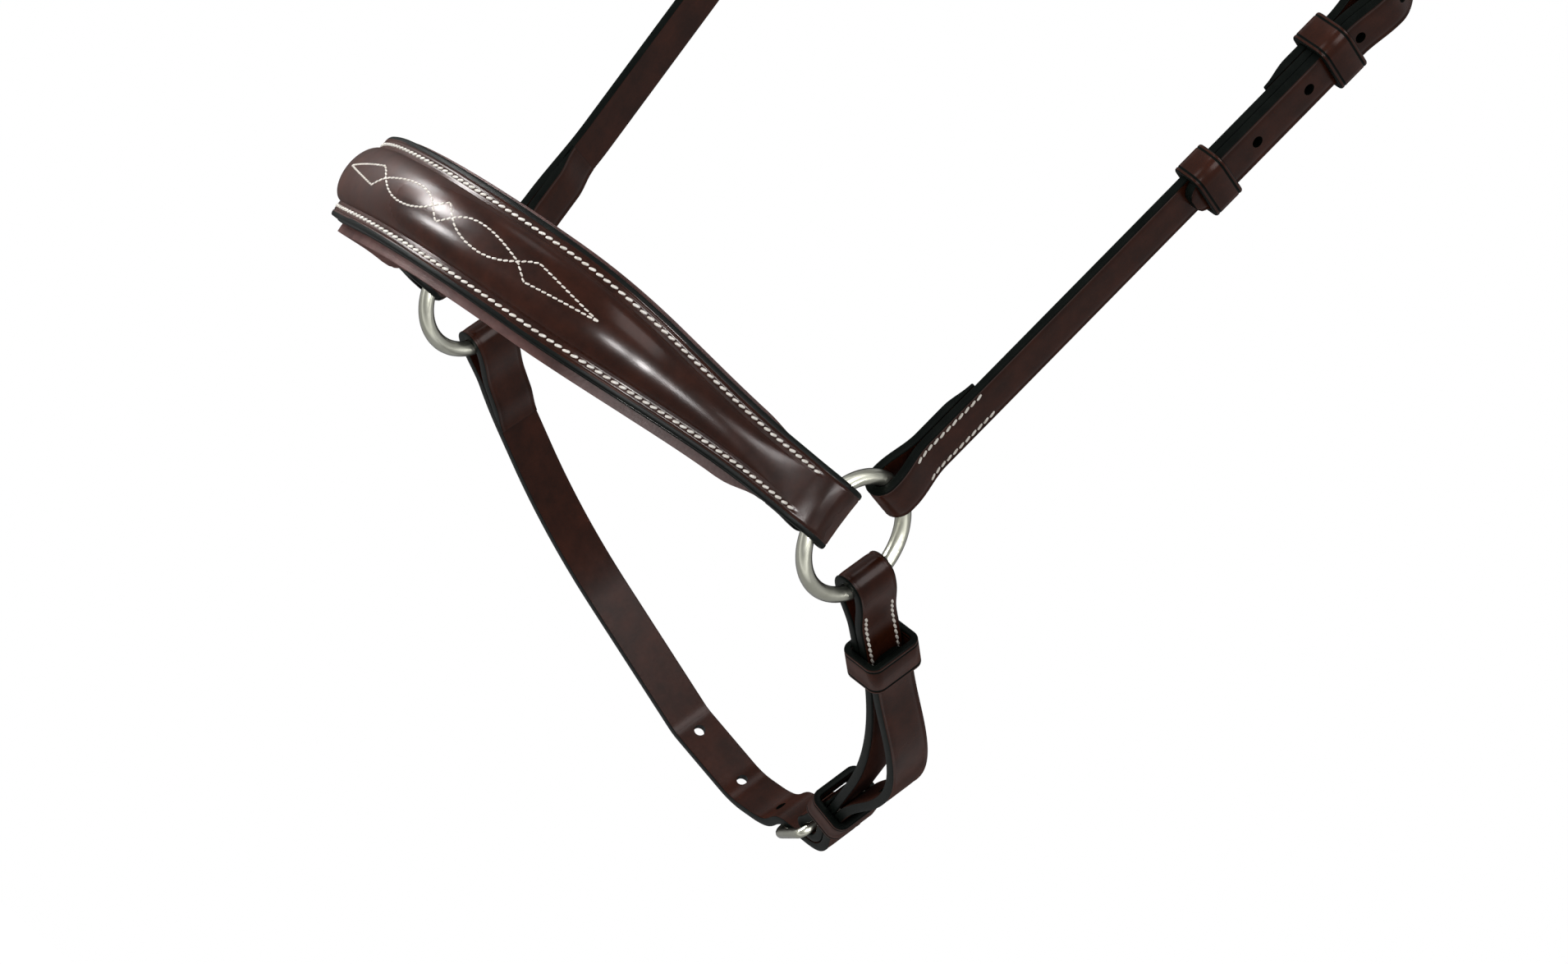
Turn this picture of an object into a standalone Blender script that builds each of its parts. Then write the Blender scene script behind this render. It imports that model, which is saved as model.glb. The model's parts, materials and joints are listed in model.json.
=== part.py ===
"""Hanoverian noseband: a padded nosepiece on two rings, a head strap and a chin strap.

Metres, +Z up, +X is the horse's left (the near side, where the buckles are), -Y is forward.
The origin is on the underside of the head strap where it lies on the poll, and all the rest hangs below.
Every strap is modelled as a straight bar, punched while it is flat, and then bent along its line.
"""

from math import ceil, cos, pi, radians, sin, sqrt

import bmesh
import bpy
import numpy as np
from mathutils import Matrix, Vector

# Clearances between pieces, and how far a cutter runs past what it cuts
GAP = 0.0003
OVERRUN = 0.002

# O-rings, and where the three straps leave them, seen from the side
RING_HOLE = 0.030
RING_WIRE = 0.0045
NOSE_DROP = radians(5.0)
CHIN_DROP = radians(20.0)

# Line of the nosepiece from its middle to a ring: front of the nose, corner, side of the face
NOSE_FRONT_LENGTH = 0.0477
NOSE_FRONT_TURN = radians(31.0)
NOSE_CORNER_LENGTH = 0.0228
NOSE_CORNER_TURN = radians(30.0)
NOSE_SIDE_LENGTH = 0.0647
NOSE_SIDE_TURN = radians(14.0)

# Nosepiece leather, with its raised crown
FACE_THICKNESS = 0.0022
FACE_LEVEL = 0.0031
FACE_MIDDLE_WIDTH = 0.0278
FACE_RING_WIDTH = 0.0178
FACE_TAPER_START = 0.036
FACE_TAPER_END = 0.118
FACE_TURN_BACK = 0.015
FACE_RING_ROOM = 0.0009
FACE_TURN_BACK_EASE = 0.012
CROWN_HEIGHT = 0.0042
CROWN_MARGIN = 0.0045
CROWN_END = 0.126
CROWN_FADE = 0.062
CORE_ROOM = 0.0006

# Backing leather, and the padding and soft lining behind it
BACKING_THICKNESS = 0.0014
BACKING_END_GAP = 0.0006
LINING_THICKNESS = 0.0010
LINING_OVERHANG = 0.0020
LINING_END_GAP = 0.0015
PAD_DEPTH = 0.0062
PAD_END_SLOPE = 0.014
PAD_END_DEPTH_SHARE = 0.45
PAD_FULLNESS = 0.6  # 1 gives the padding an elliptical back, less a squarer one

# Head strap: near cheekpiece with its buckle, and the long strap over the poll
STRAP_THICKNESS = 0.0028
CHEEK_WIDTH = 0.012
CHEEK_FLARE = radians(6.0)
CHEEK_LENGTH = 0.205
JAW_LENGTH = 0.150
JAW_TURN = radians(21.0)
POLL_RADIUS = 0.080
CHEEK_TURN_BACK = 0.034
CHEEK_BUCKLE_REACH = 0.186
CHEEK_CHAPE = 0.040
CHEEK_RUNNER_BACK = 0.068
CHEEK_TAIL_PAST = 0.0080
HEAD_SETTLE = 0.030

# Chin strap: near half with its buckle, off half that comes through it
CHIN_WIDTH = 0.013
CHIN_LEAD_TURN = radians(4.5)
CHIN_LEAD_LENGTH = 0.021
CHIN_SIDE_LENGTH = 0.071
CHIN_SIDE_TURN = radians(32.0)
CHIN_STRAIGHT = 0.0435
CHIN_BEND_RADIUS = 0.010
CHIN_BEND_TURN = radians(21.0)
CHIN_BUCKLE_STRAIGHT = 0.020
CHIN_TURN_BACK = 0.030
CHIN_CHAPE = 0.026
CHIN_RUNNER_REACH = 0.0270
CHIN_TAIL_REACH = 0.0245
CHIN_TAIL_BULGE = 0.0078

# Every strap's turned end, bevelled edges, holes and points
LOOP_EASE = 0.014
EDGE_BEVEL = 0.0004
HOLE_DIAMETER = 0.0034
HOLE_PITCH = 0.020
HOLES_EACH_WAY = 3
USED_HOLE_LENGTH = 0.0090
USED_HOLE_SHIFT = 0.0015
TIP_LENGTH = 0.009
TIP_WIDTH_SHARE = 0.35
SLOT_MARGIN = 0.0005
SLOT_BEHIND_BAR = 0.0050

# Buckles: a wire frame, and a tongue curled round its heel bar
BUCKLE_WIRE = 0.0030
BUCKLE_LENGTH = 0.017
BUCKLE_SIDE_ROOM = 0.0006
BUCKLE_CORNER = 0.0032
TONGUE_WIRE = 0.0020
TONGUE_REST_GAP = 0.0003
TONGUE_TIP_PAST = 0.0022
TONGUE_CURL = radians(285.0)

# Keepers: leather bands round the straps
KEEPER_THICKNESS = 0.0022
KEEPER_WIDTH = 0.010
KEEPER_ROOM = 0.0004
KEEPER_CORNER = 0.0030
FIXED_KEEPER_MARGIN = 0.0005

# How finely the lines are followed
LINE_STEP = 0.0005
SMOOTH_TURN = radians(6.5)
FOLD_TURN = radians(22.5)
LONGEST_STEP = 0.012
MIDDLE_FACET = LONGEST_STEP / 3
WELD = GAP / 10
SMOOTH_ANGLE = radians(35)
WIRE_SMOOTH_ANGLE = radians(50)
RING_SEGMENTS = 40
RING_SIDES = 10
WIRE_SIDES_RESOLUTION = 2
CORNER_STEPS = 5
CROWN_CUTS = 5
LINING_CUTS = 15
PAD_CUTS = 2 * CROWN_CUTS
HOLE_SIDES = 12

RING_RADIUS = (RING_HOLE + RING_WIRE) / 2
LAYER = STRAP_THICKNESS + GAP
FIXED_KEEPER_BACK = LOOP_EASE + KEEPER_WIDTH / 2 + FIXED_KEEPER_MARGIN
CHEEK_RUNNER_REACH = CHEEK_BUCKLE_REACH - CHEEK_RUNNER_BACK
CHEEK_TAIL_REACH = CHEEK_RUNNER_REACH - CHEEK_TAIL_PAST
LOOP_APPROACH = 3 * LOOP_EASE  # where a single strap starts to move out for its ring loop


class Line:
    """A smooth line in a plane, measured along its length; its normal points to its left."""

    def __init__(self, points):
        self.points = np.array(points, float)
        legs = np.linalg.norm(np.diff(self.points, axis=0), axis=1)
        self.lengths = np.concatenate([[0.0], np.cumsum(legs)])
        self.length = float(self.lengths[-1])
        headings = np.unwrap(np.arctan2(*np.diff(self.points, axis=0).T[::-1]))
        middles = (self.lengths[:-1] + self.lengths[1:]) / 2
        self.middles, self.headings = middles, headings

    def heading(self, reach):
        return float(np.interp(reach, self.middles, self.headings))

    def place(self, reach, offset=0.0):
        """The point at a reach along the line, moved by an offset to the left of it."""
        inside = min(max(reach, 0.0), self.length)
        along = np.array([np.interp(inside, self.lengths, axis) for axis in self.points.T])
        angle = self.heading(inside)
        ahead = np.array([cos(angle), sin(angle)])
        left = np.array([-sin(angle), cos(angle)])
        return along + ahead * (reach - inside) + left * offset

    def stations(self, start, end, finest):
        """Reaches from start to end, close together where the line bends."""
        found = [start]
        reach = start
        while reach < end:
            reach = min(reach + LINE_STEP, end)
            turned = abs(self.heading(reach) - self.heading(found[-1]))
            if turned >= finest or reach - found[-1] >= LONGEST_STEP:
                found.append(reach)
        if end - found[-1] > LINE_STEP:
            found.append(end)
        return found


def walk(start, heading, legs):
    """Points along legs of a length and a turn to the left, each leg an arc or a straight run."""
    points = [np.array(start, float)]
    for length, turn in legs:
        steps = max(1, ceil(length / LINE_STEP))
        for _ in range(steps):
            middle = heading + turn / steps / 2
            points.append(points[-1] + length / steps * np.array([cos(middle), sin(middle)]))
            heading += turn / steps
    return points


def mirrored(points):
    """The half line, then its mirror image, for a line that ends on the object's middle plane."""
    return list(points) + [np.array([-x, y]) for x, y in reversed(points[:-1])]


def eased(share):
    """Rises smoothly from 0 to 1."""
    share = min(max(share, 0.0), 1.0)
    return (1 - cos(pi * share)) / 2


def spread(start, end):
    """Reaches from start to end, a line step apart, in either direction."""
    count = max(2, ceil(abs(end - start) / LINE_STEP) + 1)
    return np.linspace(start, end, count)


def fold(reach, radius, side):
    """Round a bar or a ring at a reach: from the outer layer to the inner one, on the far side of it."""
    steps = ceil(pi * radius / LINE_STEP)
    angles = [pi * step / steps for step in range(1, steps)]
    return [(reach + side * radius * sin(angle), radius * cos(angle)) for angle in angles]


# The three planes of the noseband. The origin is on the line through both rings' centres, and for
# the head strap as high as the rings' tops. A plane gives a point and a height across it their place.


class Plane:
    def __init__(self, origin, across, along, up):
        self.origin, self.across, self.along, self.up = origin, across, along, up

    def world(self, point, height=0.0):
        return self.origin + self.across * point[0] + self.along * point[1] + self.up * height


def nose_line():
    """The nosepiece's line, from the near ring's wire to the off ring's, through the wires' middles."""
    half = walk(
        (0.0, 0.0),
        0.0,
        [
            (NOSE_FRONT_LENGTH, -NOSE_FRONT_TURN),
            (NOSE_CORNER_LENGTH, -NOSE_CORNER_TURN),
            (NOSE_SIDE_LENGTH, -NOSE_SIDE_TURN),
        ],
    )
    forward = RING_RADIUS - half[-1][1]
    near = [np.array([x, y + forward]) for x, y in reversed(half)]
    return Line(mirrored(near))


NOSE = nose_line()
RING_SIDE = float(NOSE.points[0][0])


def head_line():
    """The head strap's line, from the near ring's wire over the poll to the off ring's, and its height."""
    near = walk(
        (RING_SIDE, 0.0),
        pi / 2 - CHEEK_FLARE,
        [
            (CHEEK_LENGTH, 0.0),
            (JAW_LENGTH, JAW_TURN),
            (POLL_RADIUS * (pi / 2 + CHEEK_FLARE - JAW_TURN), pi / 2 + CHEEK_FLARE - JAW_TURN),
        ],
    )
    near += walk(near[-1], pi, [(near[-1][0], 0.0)])[1:]
    return Line(mirrored(near)), float(near[-1][1])


HEAD, HEAD_RISE = head_line()
RING_DEPTH = HEAD_RISE + RING_RADIUS - STRAP_THICKNESS / 2


def chin_line():
    """The chin strap's line, from the near ring's wire under the chin to the off ring's."""
    legs = [
        (CHIN_LEAD_LENGTH, 0.0),
        (CHIN_SIDE_LENGTH, CHIN_SIDE_TURN),
        (CHIN_STRAIGHT, 0.0),
        (CHIN_BEND_RADIUS * CHIN_BEND_TURN, CHIN_BEND_TURN),
        (CHIN_BUCKLE_STRAIGHT, 0.0),
    ]
    near = walk((RING_SIDE, RING_RADIUS), pi / 2 + CHIN_LEAD_TURN, legs)
    last = pi / 2 - CHIN_LEAD_TURN - CHIN_SIDE_TURN - CHIN_BEND_TURN
    radius = near[-1][0] / sin(pi / 2 - last)
    near += walk(near[-1], pi - last, [(radius * last, last)])[1:]
    return Line(mirrored(near))


CHIN = chin_line()
CHIN_BUCKLE_REACH = (
    CHIN_LEAD_LENGTH + CHIN_SIDE_LENGTH + CHIN_STRAIGHT + CHIN_BEND_RADIUS * CHIN_BEND_TURN
)

RING_AXIS = Vector((0, 0, -RING_DEPTH))
SIDEWAYS = Vector((1, 0, 0))
NOSE_PLANE = Plane(
    RING_AXIS,
    SIDEWAYS,
    Vector((0, -cos(NOSE_DROP), -sin(NOSE_DROP))),
    Vector((0, -sin(NOSE_DROP), cos(NOSE_DROP))),
)
CHIN_PLANE = Plane(
    RING_AXIS,
    SIDEWAYS,
    Vector((0, cos(CHIN_DROP), -sin(CHIN_DROP))),
    Vector((0, sin(CHIN_DROP), cos(CHIN_DROP))),
)
HEAD_PLANE = Plane(
    Vector((0, 0, RING_RADIUS - RING_DEPTH)),
    SIDEWAYS,
    Vector((0, 0, 1)),
    Vector((0, 1, 0)),
)


# Materials and the scene's collections


def material(name, color, roughness, metallic=0.0):
    made = bpy.data.materials.new(name)
    made.use_nodes = True
    shader = made.node_tree.nodes["Principled BSDF"]
    shader.inputs["Base Color"].default_value = (*color, 1.0)
    shader.inputs["Roughness"].default_value = roughness
    shader.inputs["Metallic"].default_value = metallic
    return made


def start():
    for old in list(bpy.data.objects):
        bpy.data.objects.remove(old, do_unlink=True)
    made = {}
    for name in ("hanoverian_noseband", "cutters"):
        made[name] = bpy.data.collections.new(name)
        bpy.context.scene.collection.children.link(made[name])
    return made["hanoverian_noseband"], made["cutters"]


PARTS, CUTTERS = start()
HAVANA = material("havana_leather", (0.085, 0.032, 0.026), 0.3)
LINING_SKIN = material("lining_leather", (0.20, 0.075, 0.060), 0.55)
FOAM = material("padding_foam", (0.55, 0.50, 0.42), 0.9)
FELT = material("crown_felt", (0.32, 0.29, 0.25), 0.95)
STEEL = material("stainless_steel", (0.55, 0.55, 0.52), 0.25, 1.0)


def finish(name, mesh, finish_material, parent=None, smooth=SMOOTH_ANGLE):
    """The object of one sub-part, in the part's collection."""
    mesh.materials.clear()
    mesh.materials.append(finish_material)
    mesh.shade_smooth()
    mesh.set_sharp_from_angle(angle=smooth)
    made = bpy.data.objects.new(name, mesh)
    PARTS.objects.link(made)
    if parent:
        made.parent = parent
        made.matrix_parent_inverse = parent.matrix_world.inverted()
    return made


def pivot(name, place):
    """An empty on a joint's axis, which carries the pieces that move with it."""
    made = bpy.data.objects.new(name, None)
    made.empty_display_size = RING_HOLE
    made.location = place
    PARTS.objects.link(made)
    bpy.context.view_layer.update()
    return made


# A straight bar, cut across where it will bend, punched and then bent


def straight_bar(start, end, width, thickness, stations, cuts=(), bevel=EDGE_BEVEL):
    """A bar along X from start to end, with loops at its stations and at the cuts across its width."""
    bar = bmesh.new()
    bmesh.ops.create_cube(bar, size=1.0)
    bmesh.ops.scale(bar, vec=(end - start, width, thickness), verts=bar.verts)
    bmesh.ops.translate(bar, vec=((start + end) / 2, 0, 0), verts=bar.verts)
    if bevel:
        long_edges = [
            edge
            for edge in bar.edges
            if abs(edge.verts[0].co.x - edge.verts[1].co.x) > thickness / 2
        ]
        bmesh.ops.bevel(bar, geom=long_edges, offset=bevel, segments=1, affect="EDGES")
    for reach in stations:
        if start < reach < end:
            everything = bar.verts[:] + bar.edges[:] + bar.faces[:]
            bmesh.ops.bisect_plane(bar, geom=everything, plane_co=(reach, 0, 0), plane_no=(1, 0, 0))
    for across in cuts:
        everything = bar.verts[:] + bar.edges[:] + bar.faces[:]
        bmesh.ops.bisect_plane(bar, geom=everything, plane_co=(0, across, 0), plane_no=(0, 1, 0))
    mesh = bpy.data.meshes.new("bar")
    bar.to_mesh(mesh)
    bar.free()
    return mesh


def oval_cutter(reach, length, width, depth):
    """An oval punch through a flat bar, as long as it is wide for a round hole."""
    punch = bmesh.new()
    bmesh.ops.create_cone(
        punch,
        cap_ends=True,
        segments=HOLE_SIDES,
        radius1=width / 2,
        radius2=width / 2,
        depth=depth,
    )
    stretch = (length - width) / 2
    for vert in punch.verts:
        vert.co.x += stretch if vert.co.x > 0 else -stretch
        vert.co.x += reach
    mesh = bpy.data.meshes.new("punch")
    punch.to_mesh(mesh)
    punch.free()
    cutter = bpy.data.objects.new("punch", mesh)
    CUTTERS.objects.link(cutter)
    cutter.hide_render = True
    cutter.display_type = "WIRE"
    return cutter


def punched(mesh, thickness, holes):
    """The flat bar with a hole for each reach, length and width."""
    if not holes:
        return mesh
    flat = bpy.data.objects.new("flat", mesh)
    CUTTERS.objects.link(flat)
    flat.hide_render = True
    for reach, length, width in holes:
        cut = flat.modifiers.new("hole", "BOOLEAN")
        cut.operation = "DIFFERENCE"
        cut.solver = "EXACT"
        cut.object = oval_cutter(reach, length, width, thickness + OVERRUN)
    bpy.context.view_layer.update()
    evaluated = flat.evaluated_get(bpy.context.evaluated_depsgraph_get())
    made = bpy.data.meshes.new_from_object(evaluated)
    bpy.data.objects.remove(flat, do_unlink=True)
    return made


def tip_width(reach, end):
    """How much of the width is left near a strap's point, as a share."""
    short = 1 - min(abs(end - reach), TIP_LENGTH) / TIP_LENGTH
    return 1 - (1 - TIP_WIDTH_SHARE) * (1 - sqrt(max(0.0, 1 - short * short)))


def strap(name, plane, line, width, holes=(), point_at=None, parent=None):
    """A flat strap along a line in a plane: holes are (reach, length, width), point_at is the tip's reach."""
    stations = line.stations(0.0, line.length, SMOOTH_TURN)
    if point_at is not None:
        stations += [point_at + TIP_LENGTH * step / CORNER_STEPS for step in range(1, CORNER_STEPS)]
    mesh = straight_bar(0.0, line.length, width, STRAP_THICKNESS, stations)
    mesh = punched(mesh, STRAP_THICKNESS, holes)
    for vert in mesh.vertices:
        reach, across, offset = vert.co
        if point_at is not None:
            across *= tip_width(reach, point_at)
        vert.co = plane.world(line.place(reach, offset), across)
    set_outward(mesh)
    return finish(name, mesh, HAVANA, parent)


def set_outward(mesh):
    """Faces turned to point out of the closed body."""
    shell = bmesh.new()
    shell.from_mesh(mesh)
    bmesh.ops.recalc_face_normals(shell, faces=shell.faces)
    shell.to_mesh(mesh)
    shell.free()


# Lines of the straps' leather, each worked out from the layers it lies in

RING_FOLD = RING_WIRE / 2 + GAP + STRAP_THICKNESS / 2
BAR_FOLD = BUCKLE_WIRE / 2 + GAP + STRAP_THICKNESS / 2
LAYER_SIDE = LAYER / 2
TAIL_SIDE = LAYER_SIDE + LAYER
OVER_HEEL = BAR_FOLD + LAYER
UNDER_BAR = BUCKLE_WIRE / 2 + GAP + STRAP_THICKNESS / 2


def ring_seat(width):
    """How far inside the wire's line a flat fold lies, because the wire curves away under its middle."""
    return RING_RADIUS - sqrt(RING_RADIUS**2 - (width / 2) ** 2)


def towards(fold_side, reach):
    """The offset of a layer that leaves a fold and closes on the other layer."""
    return fold_side + (LAYER_SIDE - fold_side) * eased(reach / LOOP_EASE)


def buckled_strap_line(guide, out, turn_back, buckle, chape, width):
    """A strap folded round a ring at reach 0 and round a buckle's bar; out is the outer side, +1 or -1."""
    seat = -ring_seat(width)
    points = [(reach, -towards(RING_FOLD, reach)) for reach in spread(turn_back, seat)]
    points += [(r, -n) for r, n in fold(seat, RING_FOLD, -1)]
    for reach in spread(seat, buckle):
        near_ring = towards(RING_FOLD, reach)
        near_bar = towards(BAR_FOLD, buckle - reach)
        points.append((reach, max(near_ring, near_bar)))
    points += fold(buckle, BAR_FOLD, 1)
    points += [(buckle - back, -towards(BAR_FOLD, back)) for back in spread(0.0, chape)]
    return Line([guide.place(reach, out * offset) for reach, offset in points])


def through_buckle(back, closing):
    """The offset of the strap that comes through a buckle, by its distance back from the heel bar.

    Past the bar, where back is below zero, it dips under the far bar, and settles on the guide line.
    """
    if back >= 0:
        return TAIL_SIDE + (OVER_HEEL - TAIL_SIDE) * eased(1 - back / LOOP_EASE)
    past = -back
    if past <= BUCKLE_LENGTH:
        return OVER_HEEL - (OVER_HEEL + UNDER_BAR) * eased(past / BUCKLE_LENGTH)
    return -UNDER_BAR * (1 - eased((past - BUCKLE_LENGTH) / closing))


def ring_loop(guide, turn_back, width):
    """The end of a strap that comes down to the ring at the guide's far end and folds back round it."""
    end = guide.length
    seat = -ring_seat(width)
    points = [(end - back, towards(RING_FOLD, back)) for back in spread(LOOP_EASE, seat)]
    points += fold(end - seat, RING_FOLD, 1)
    points += [(end - back, -towards(RING_FOLD, back)) for back in spread(seat, turn_back)]
    return points


# Pieces


def o_ring(name, side, parent):
    """A round steel ring in the plane of the face's side."""
    bpy.ops.mesh.primitive_torus_add(
        major_segments=RING_SEGMENTS,
        minor_segments=RING_SIDES,
        major_radius=RING_RADIUS,
        minor_radius=RING_WIRE / 2,
    )
    made = bpy.context.object
    mesh = made.data
    bpy.data.objects.remove(made, do_unlink=True)
    place = Matrix.Translation(RING_AXIS + SIDEWAYS * side) @ Matrix.Rotation(pi / 2, 4, "Y")
    mesh.transform(place)
    return finish(name, mesh, STEEL, parent, smooth=pi)


def face_half_width(from_middle):
    """Half the nosepiece leather's width, by the distance from its middle."""
    share = (from_middle - FACE_TAPER_START) / (FACE_TAPER_END - FACE_TAPER_START)
    return (FACE_MIDDLE_WIDTH + (FACE_RING_WIDTH - FACE_MIDDLE_WIDTH) * eased(share)) / 2


def crown(from_middle, across):
    """How far the crown rises above the flanges of the nosepiece leather."""
    half = face_half_width(from_middle) - CROWN_MARGIN
    if abs(across) >= half:
        return 0.0
    fade = eased((CROWN_END - from_middle) / CROWN_FADE)
    return CROWN_HEIGHT * fade * sqrt(1 - (across / half) ** 2)


def face_line():
    """The nosepiece leather's line: turned back round both rings, and how each point lies on the nose line."""
    ring_fold = RING_WIRE / 2 + FACE_RING_ROOM + FACE_THICKNESS / 2
    inner = FACE_LEVEL - FACE_THICKNESS - GAP
    points = []
    seat = -ring_seat(FACE_RING_WIDTH)
    for reach in spread(FACE_TURN_BACK, seat):
        rise = (inner + ring_fold) * eased(reach / FACE_TURN_BACK_EASE)
        points.append((reach, rise - ring_fold))
    points += [(r, -n) for r, n in fold(seat, ring_fold, -1)]
    for reach in spread(seat, NOSE.length / 2):
        rise = (FACE_LEVEL - ring_fold) * eased(reach / FACE_TURN_BACK_EASE)
        points.append((reach, ring_fold + rise))
    far = [(NOSE.length - reach, offset) for reach, offset in reversed(points[:-1])]
    return Line([NOSE.place(reach, -offset) for reach, offset in points + far])


def nosepiece_face(parent):
    """The crowned leather of the nosepiece, folded round both rings."""
    line = face_line()
    middle = line.length / 2
    fold_reach = middle - NOSE.length / 2
    half = FACE_MIDDLE_WIDTH / 2
    shoulder = half - CROWN_MARGIN
    steps = range(-CROWN_CUTS, CROWN_CUTS + 1)
    inner_cuts = [shoulder * sin(pi / 2 * step / CROWN_CUTS) for step in steps]
    stations = line.stations(0.0, line.length, SMOOTH_TURN)
    mesh = straight_bar(0.0, line.length, 2 * half, FACE_THICKNESS, stations, inner_cuts)
    for vert in mesh.vertices:
        reach, across, offset = vert.co
        from_middle = abs(reach - middle)
        width = face_half_width(min(from_middle, FACE_TAPER_END))
        share = abs(across) / half
        edge_share = shoulder / half
        limit = width - CROWN_MARGIN
        if share <= edge_share:
            across_now = share / edge_share * limit
        else:
            across_now = limit + (share - edge_share) / (1 - edge_share) * CROWN_MARGIN
        across_now = across_now if across >= 0 else -across_now
        rise = crown(from_middle, across_now)
        vert.co = NOSE_PLANE.world(line.place(reach, offset - rise), across_now)
    set_outward(mesh)
    return finish("nosepiece_face", mesh, HAVANA, parent)


def loft(name, sections, finish_material, parent):
    """A closed body through rings of points that all have the same count."""
    body = bmesh.new()
    rings = [[body.verts.new(point) for point in section] for section in sections]
    count = len(rings[0])
    for ring, following in zip(rings, rings[1:]):
        for corner in range(count):
            other = (corner + 1) % count
            body.faces.new((ring[corner], ring[other], following[other], following[corner]))
    body.faces.new(rings[0])
    body.faces.new(rings[-1])
    bmesh.ops.recalc_face_normals(body, faces=body.faces)
    mesh = bpy.data.meshes.new(name)
    body.to_mesh(mesh)
    body.free()
    return finish(name, mesh, finish_material, parent)


def nose_stations(start):
    """Reaches along the nose line from start to its mirror image, with a flat facet at the middle."""
    middle = NOSE.length / 2
    half = [r for r in NOSE.stations(start, middle, SMOOTH_TURN) if middle - r > MIDDLE_FACET]
    return half + [NOSE.length - reach for reach in reversed(half)]


def nosepiece_core(parent):
    """The felt that raises the crown, between the leather and its backing."""
    under = FACE_LEVEL - FACE_THICKNESS / 2
    start = NOSE.length / 2 - CROWN_END + CROWN_FADE / 2
    sections = []
    for reach in nose_stations(start):
        from_middle = abs(reach - NOSE.length / 2)
        half = face_half_width(from_middle) - CROWN_MARGIN - FACE_THICKNESS / 2
        section = []
        for step in range(PAD_CUTS + 1):
            across = half * cos(pi * step / PAD_CUTS)
            rise = max(crown(from_middle, across) - CORE_ROOM, GAP)
            section.append(NOSE_PLANE.world(NOSE.place(reach, -(under + rise)), across))
        section.append(NOSE_PLANE.world(NOSE.place(reach, -under), -half))
        section.append(NOSE_PLANE.world(NOSE.place(reach, -under), half))
        sections.append(section)
    return loft("nosepiece_core", sections, FELT, parent)


def nosepiece_backing(parent):
    """The flat leather that closes the crown's underside, flush with the nosepiece leather's edges."""
    top = FACE_LEVEL - FACE_THICKNESS / 2 - GAP
    sections = []
    for reach in nose_stations(FACE_TURN_BACK + BACKING_END_GAP):
        half = face_half_width(abs(reach - NOSE.length / 2))
        corners = ((half, top), (-half, top), (-half, top - BACKING_THICKNESS), (half, top - BACKING_THICKNESS))
        sections.append([NOSE_PLANE.world(NOSE.place(reach, -level), across) for across, level in corners])
    return loft("nosepiece_backing", sections, HAVANA, parent)


def pad_shape(reach):
    """Half width and depth of the padded lining at a reach along the nose line."""
    from_middle = abs(reach - NOSE.length / 2)
    half = face_half_width(from_middle) + LINING_OVERHANG
    start = FACE_TURN_BACK + LINING_END_GAP
    end_share = eased((NOSE.length / 2 - start - from_middle) / PAD_END_SLOPE)
    depth = PAD_DEPTH * (PAD_END_DEPTH_SHARE + (1 - PAD_END_DEPTH_SHARE) * end_share)
    return half - LINING_OVERHANG * (1 - end_share), depth


def pad_outline(half, depth, inset, steps):
    """Across and depth of the padding's outline, from one top corner round the back to the other."""
    outline = []
    for step in range(steps + 1):
        angle = pi * step / steps
        across = (half - inset) * np.sign(cos(angle)) * abs(cos(angle)) ** PAD_FULLNESS
        deep = (depth - inset) * abs(sin(angle)) ** PAD_FULLNESS
        outline.append((float(across), float(deep)))
    return outline


def pad_section(reach, outline):
    top = FACE_LEVEL - FACE_THICKNESS / 2 - BACKING_THICKNESS - 2 * GAP
    return [NOSE_PLANE.world(NOSE.place(reach, deep - top), across) for across, deep in outline]


def nosepiece_padding(parent):
    """The foam inside the lining."""
    sections = []
    inset = LINING_THICKNESS + GAP
    start = FACE_TURN_BACK + LINING_END_GAP
    for reach in nose_stations(start):
        half, depth = pad_shape(reach)
        sections.append(pad_section(reach, pad_outline(half, depth, inset, PAD_CUTS)))
    return loft("nosepiece_padding", sections, FOAM, parent)


def nosepiece_lining(parent):
    """The soft lining leather, wrapped round the padding's back and edges and turned in under the backing."""
    sections = []
    start = FACE_TURN_BACK + LINING_END_GAP
    for reach in nose_stations(start):
        half, depth = pad_shape(reach)
        outer = pad_outline(half, depth, 0.0, LINING_CUTS)
        inner = pad_outline(half, depth, LINING_THICKNESS, LINING_CUTS)
        sections.append(pad_section(reach, outer + inner[::-1]))
    return loft("nosepiece_lining", sections, LINING_SKIN, parent)


def rounded_box(half_x, half_y, corner):
    """Points round a rectangle with rounded corners."""
    points = []
    for centre_x, centre_y, first in (
        (half_x - corner, half_y - corner, 0.0),
        (corner - half_x, half_y - corner, pi / 2),
        (corner - half_x, corner - half_y, pi),
        (half_x - corner, corner - half_y, 3 * pi / 2),
    ):
        for step in range(CORNER_STEPS):
            angle = first + pi / 2 * step / (CORNER_STEPS - 1)
            points.append((centre_x + corner * cos(angle), centre_y + corner * sin(angle)))
    return points


def flat_spline(curve, points, closed=True):
    spline = curve.splines.new("POLY")
    spline.points.add(len(points) - 1)
    for slot, point in zip(spline.points, points):
        slot.co = (*point, 0.0, 1.0) if len(point) == 2 else (*point, 1.0)
    spline.use_cyclic_u = closed


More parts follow.
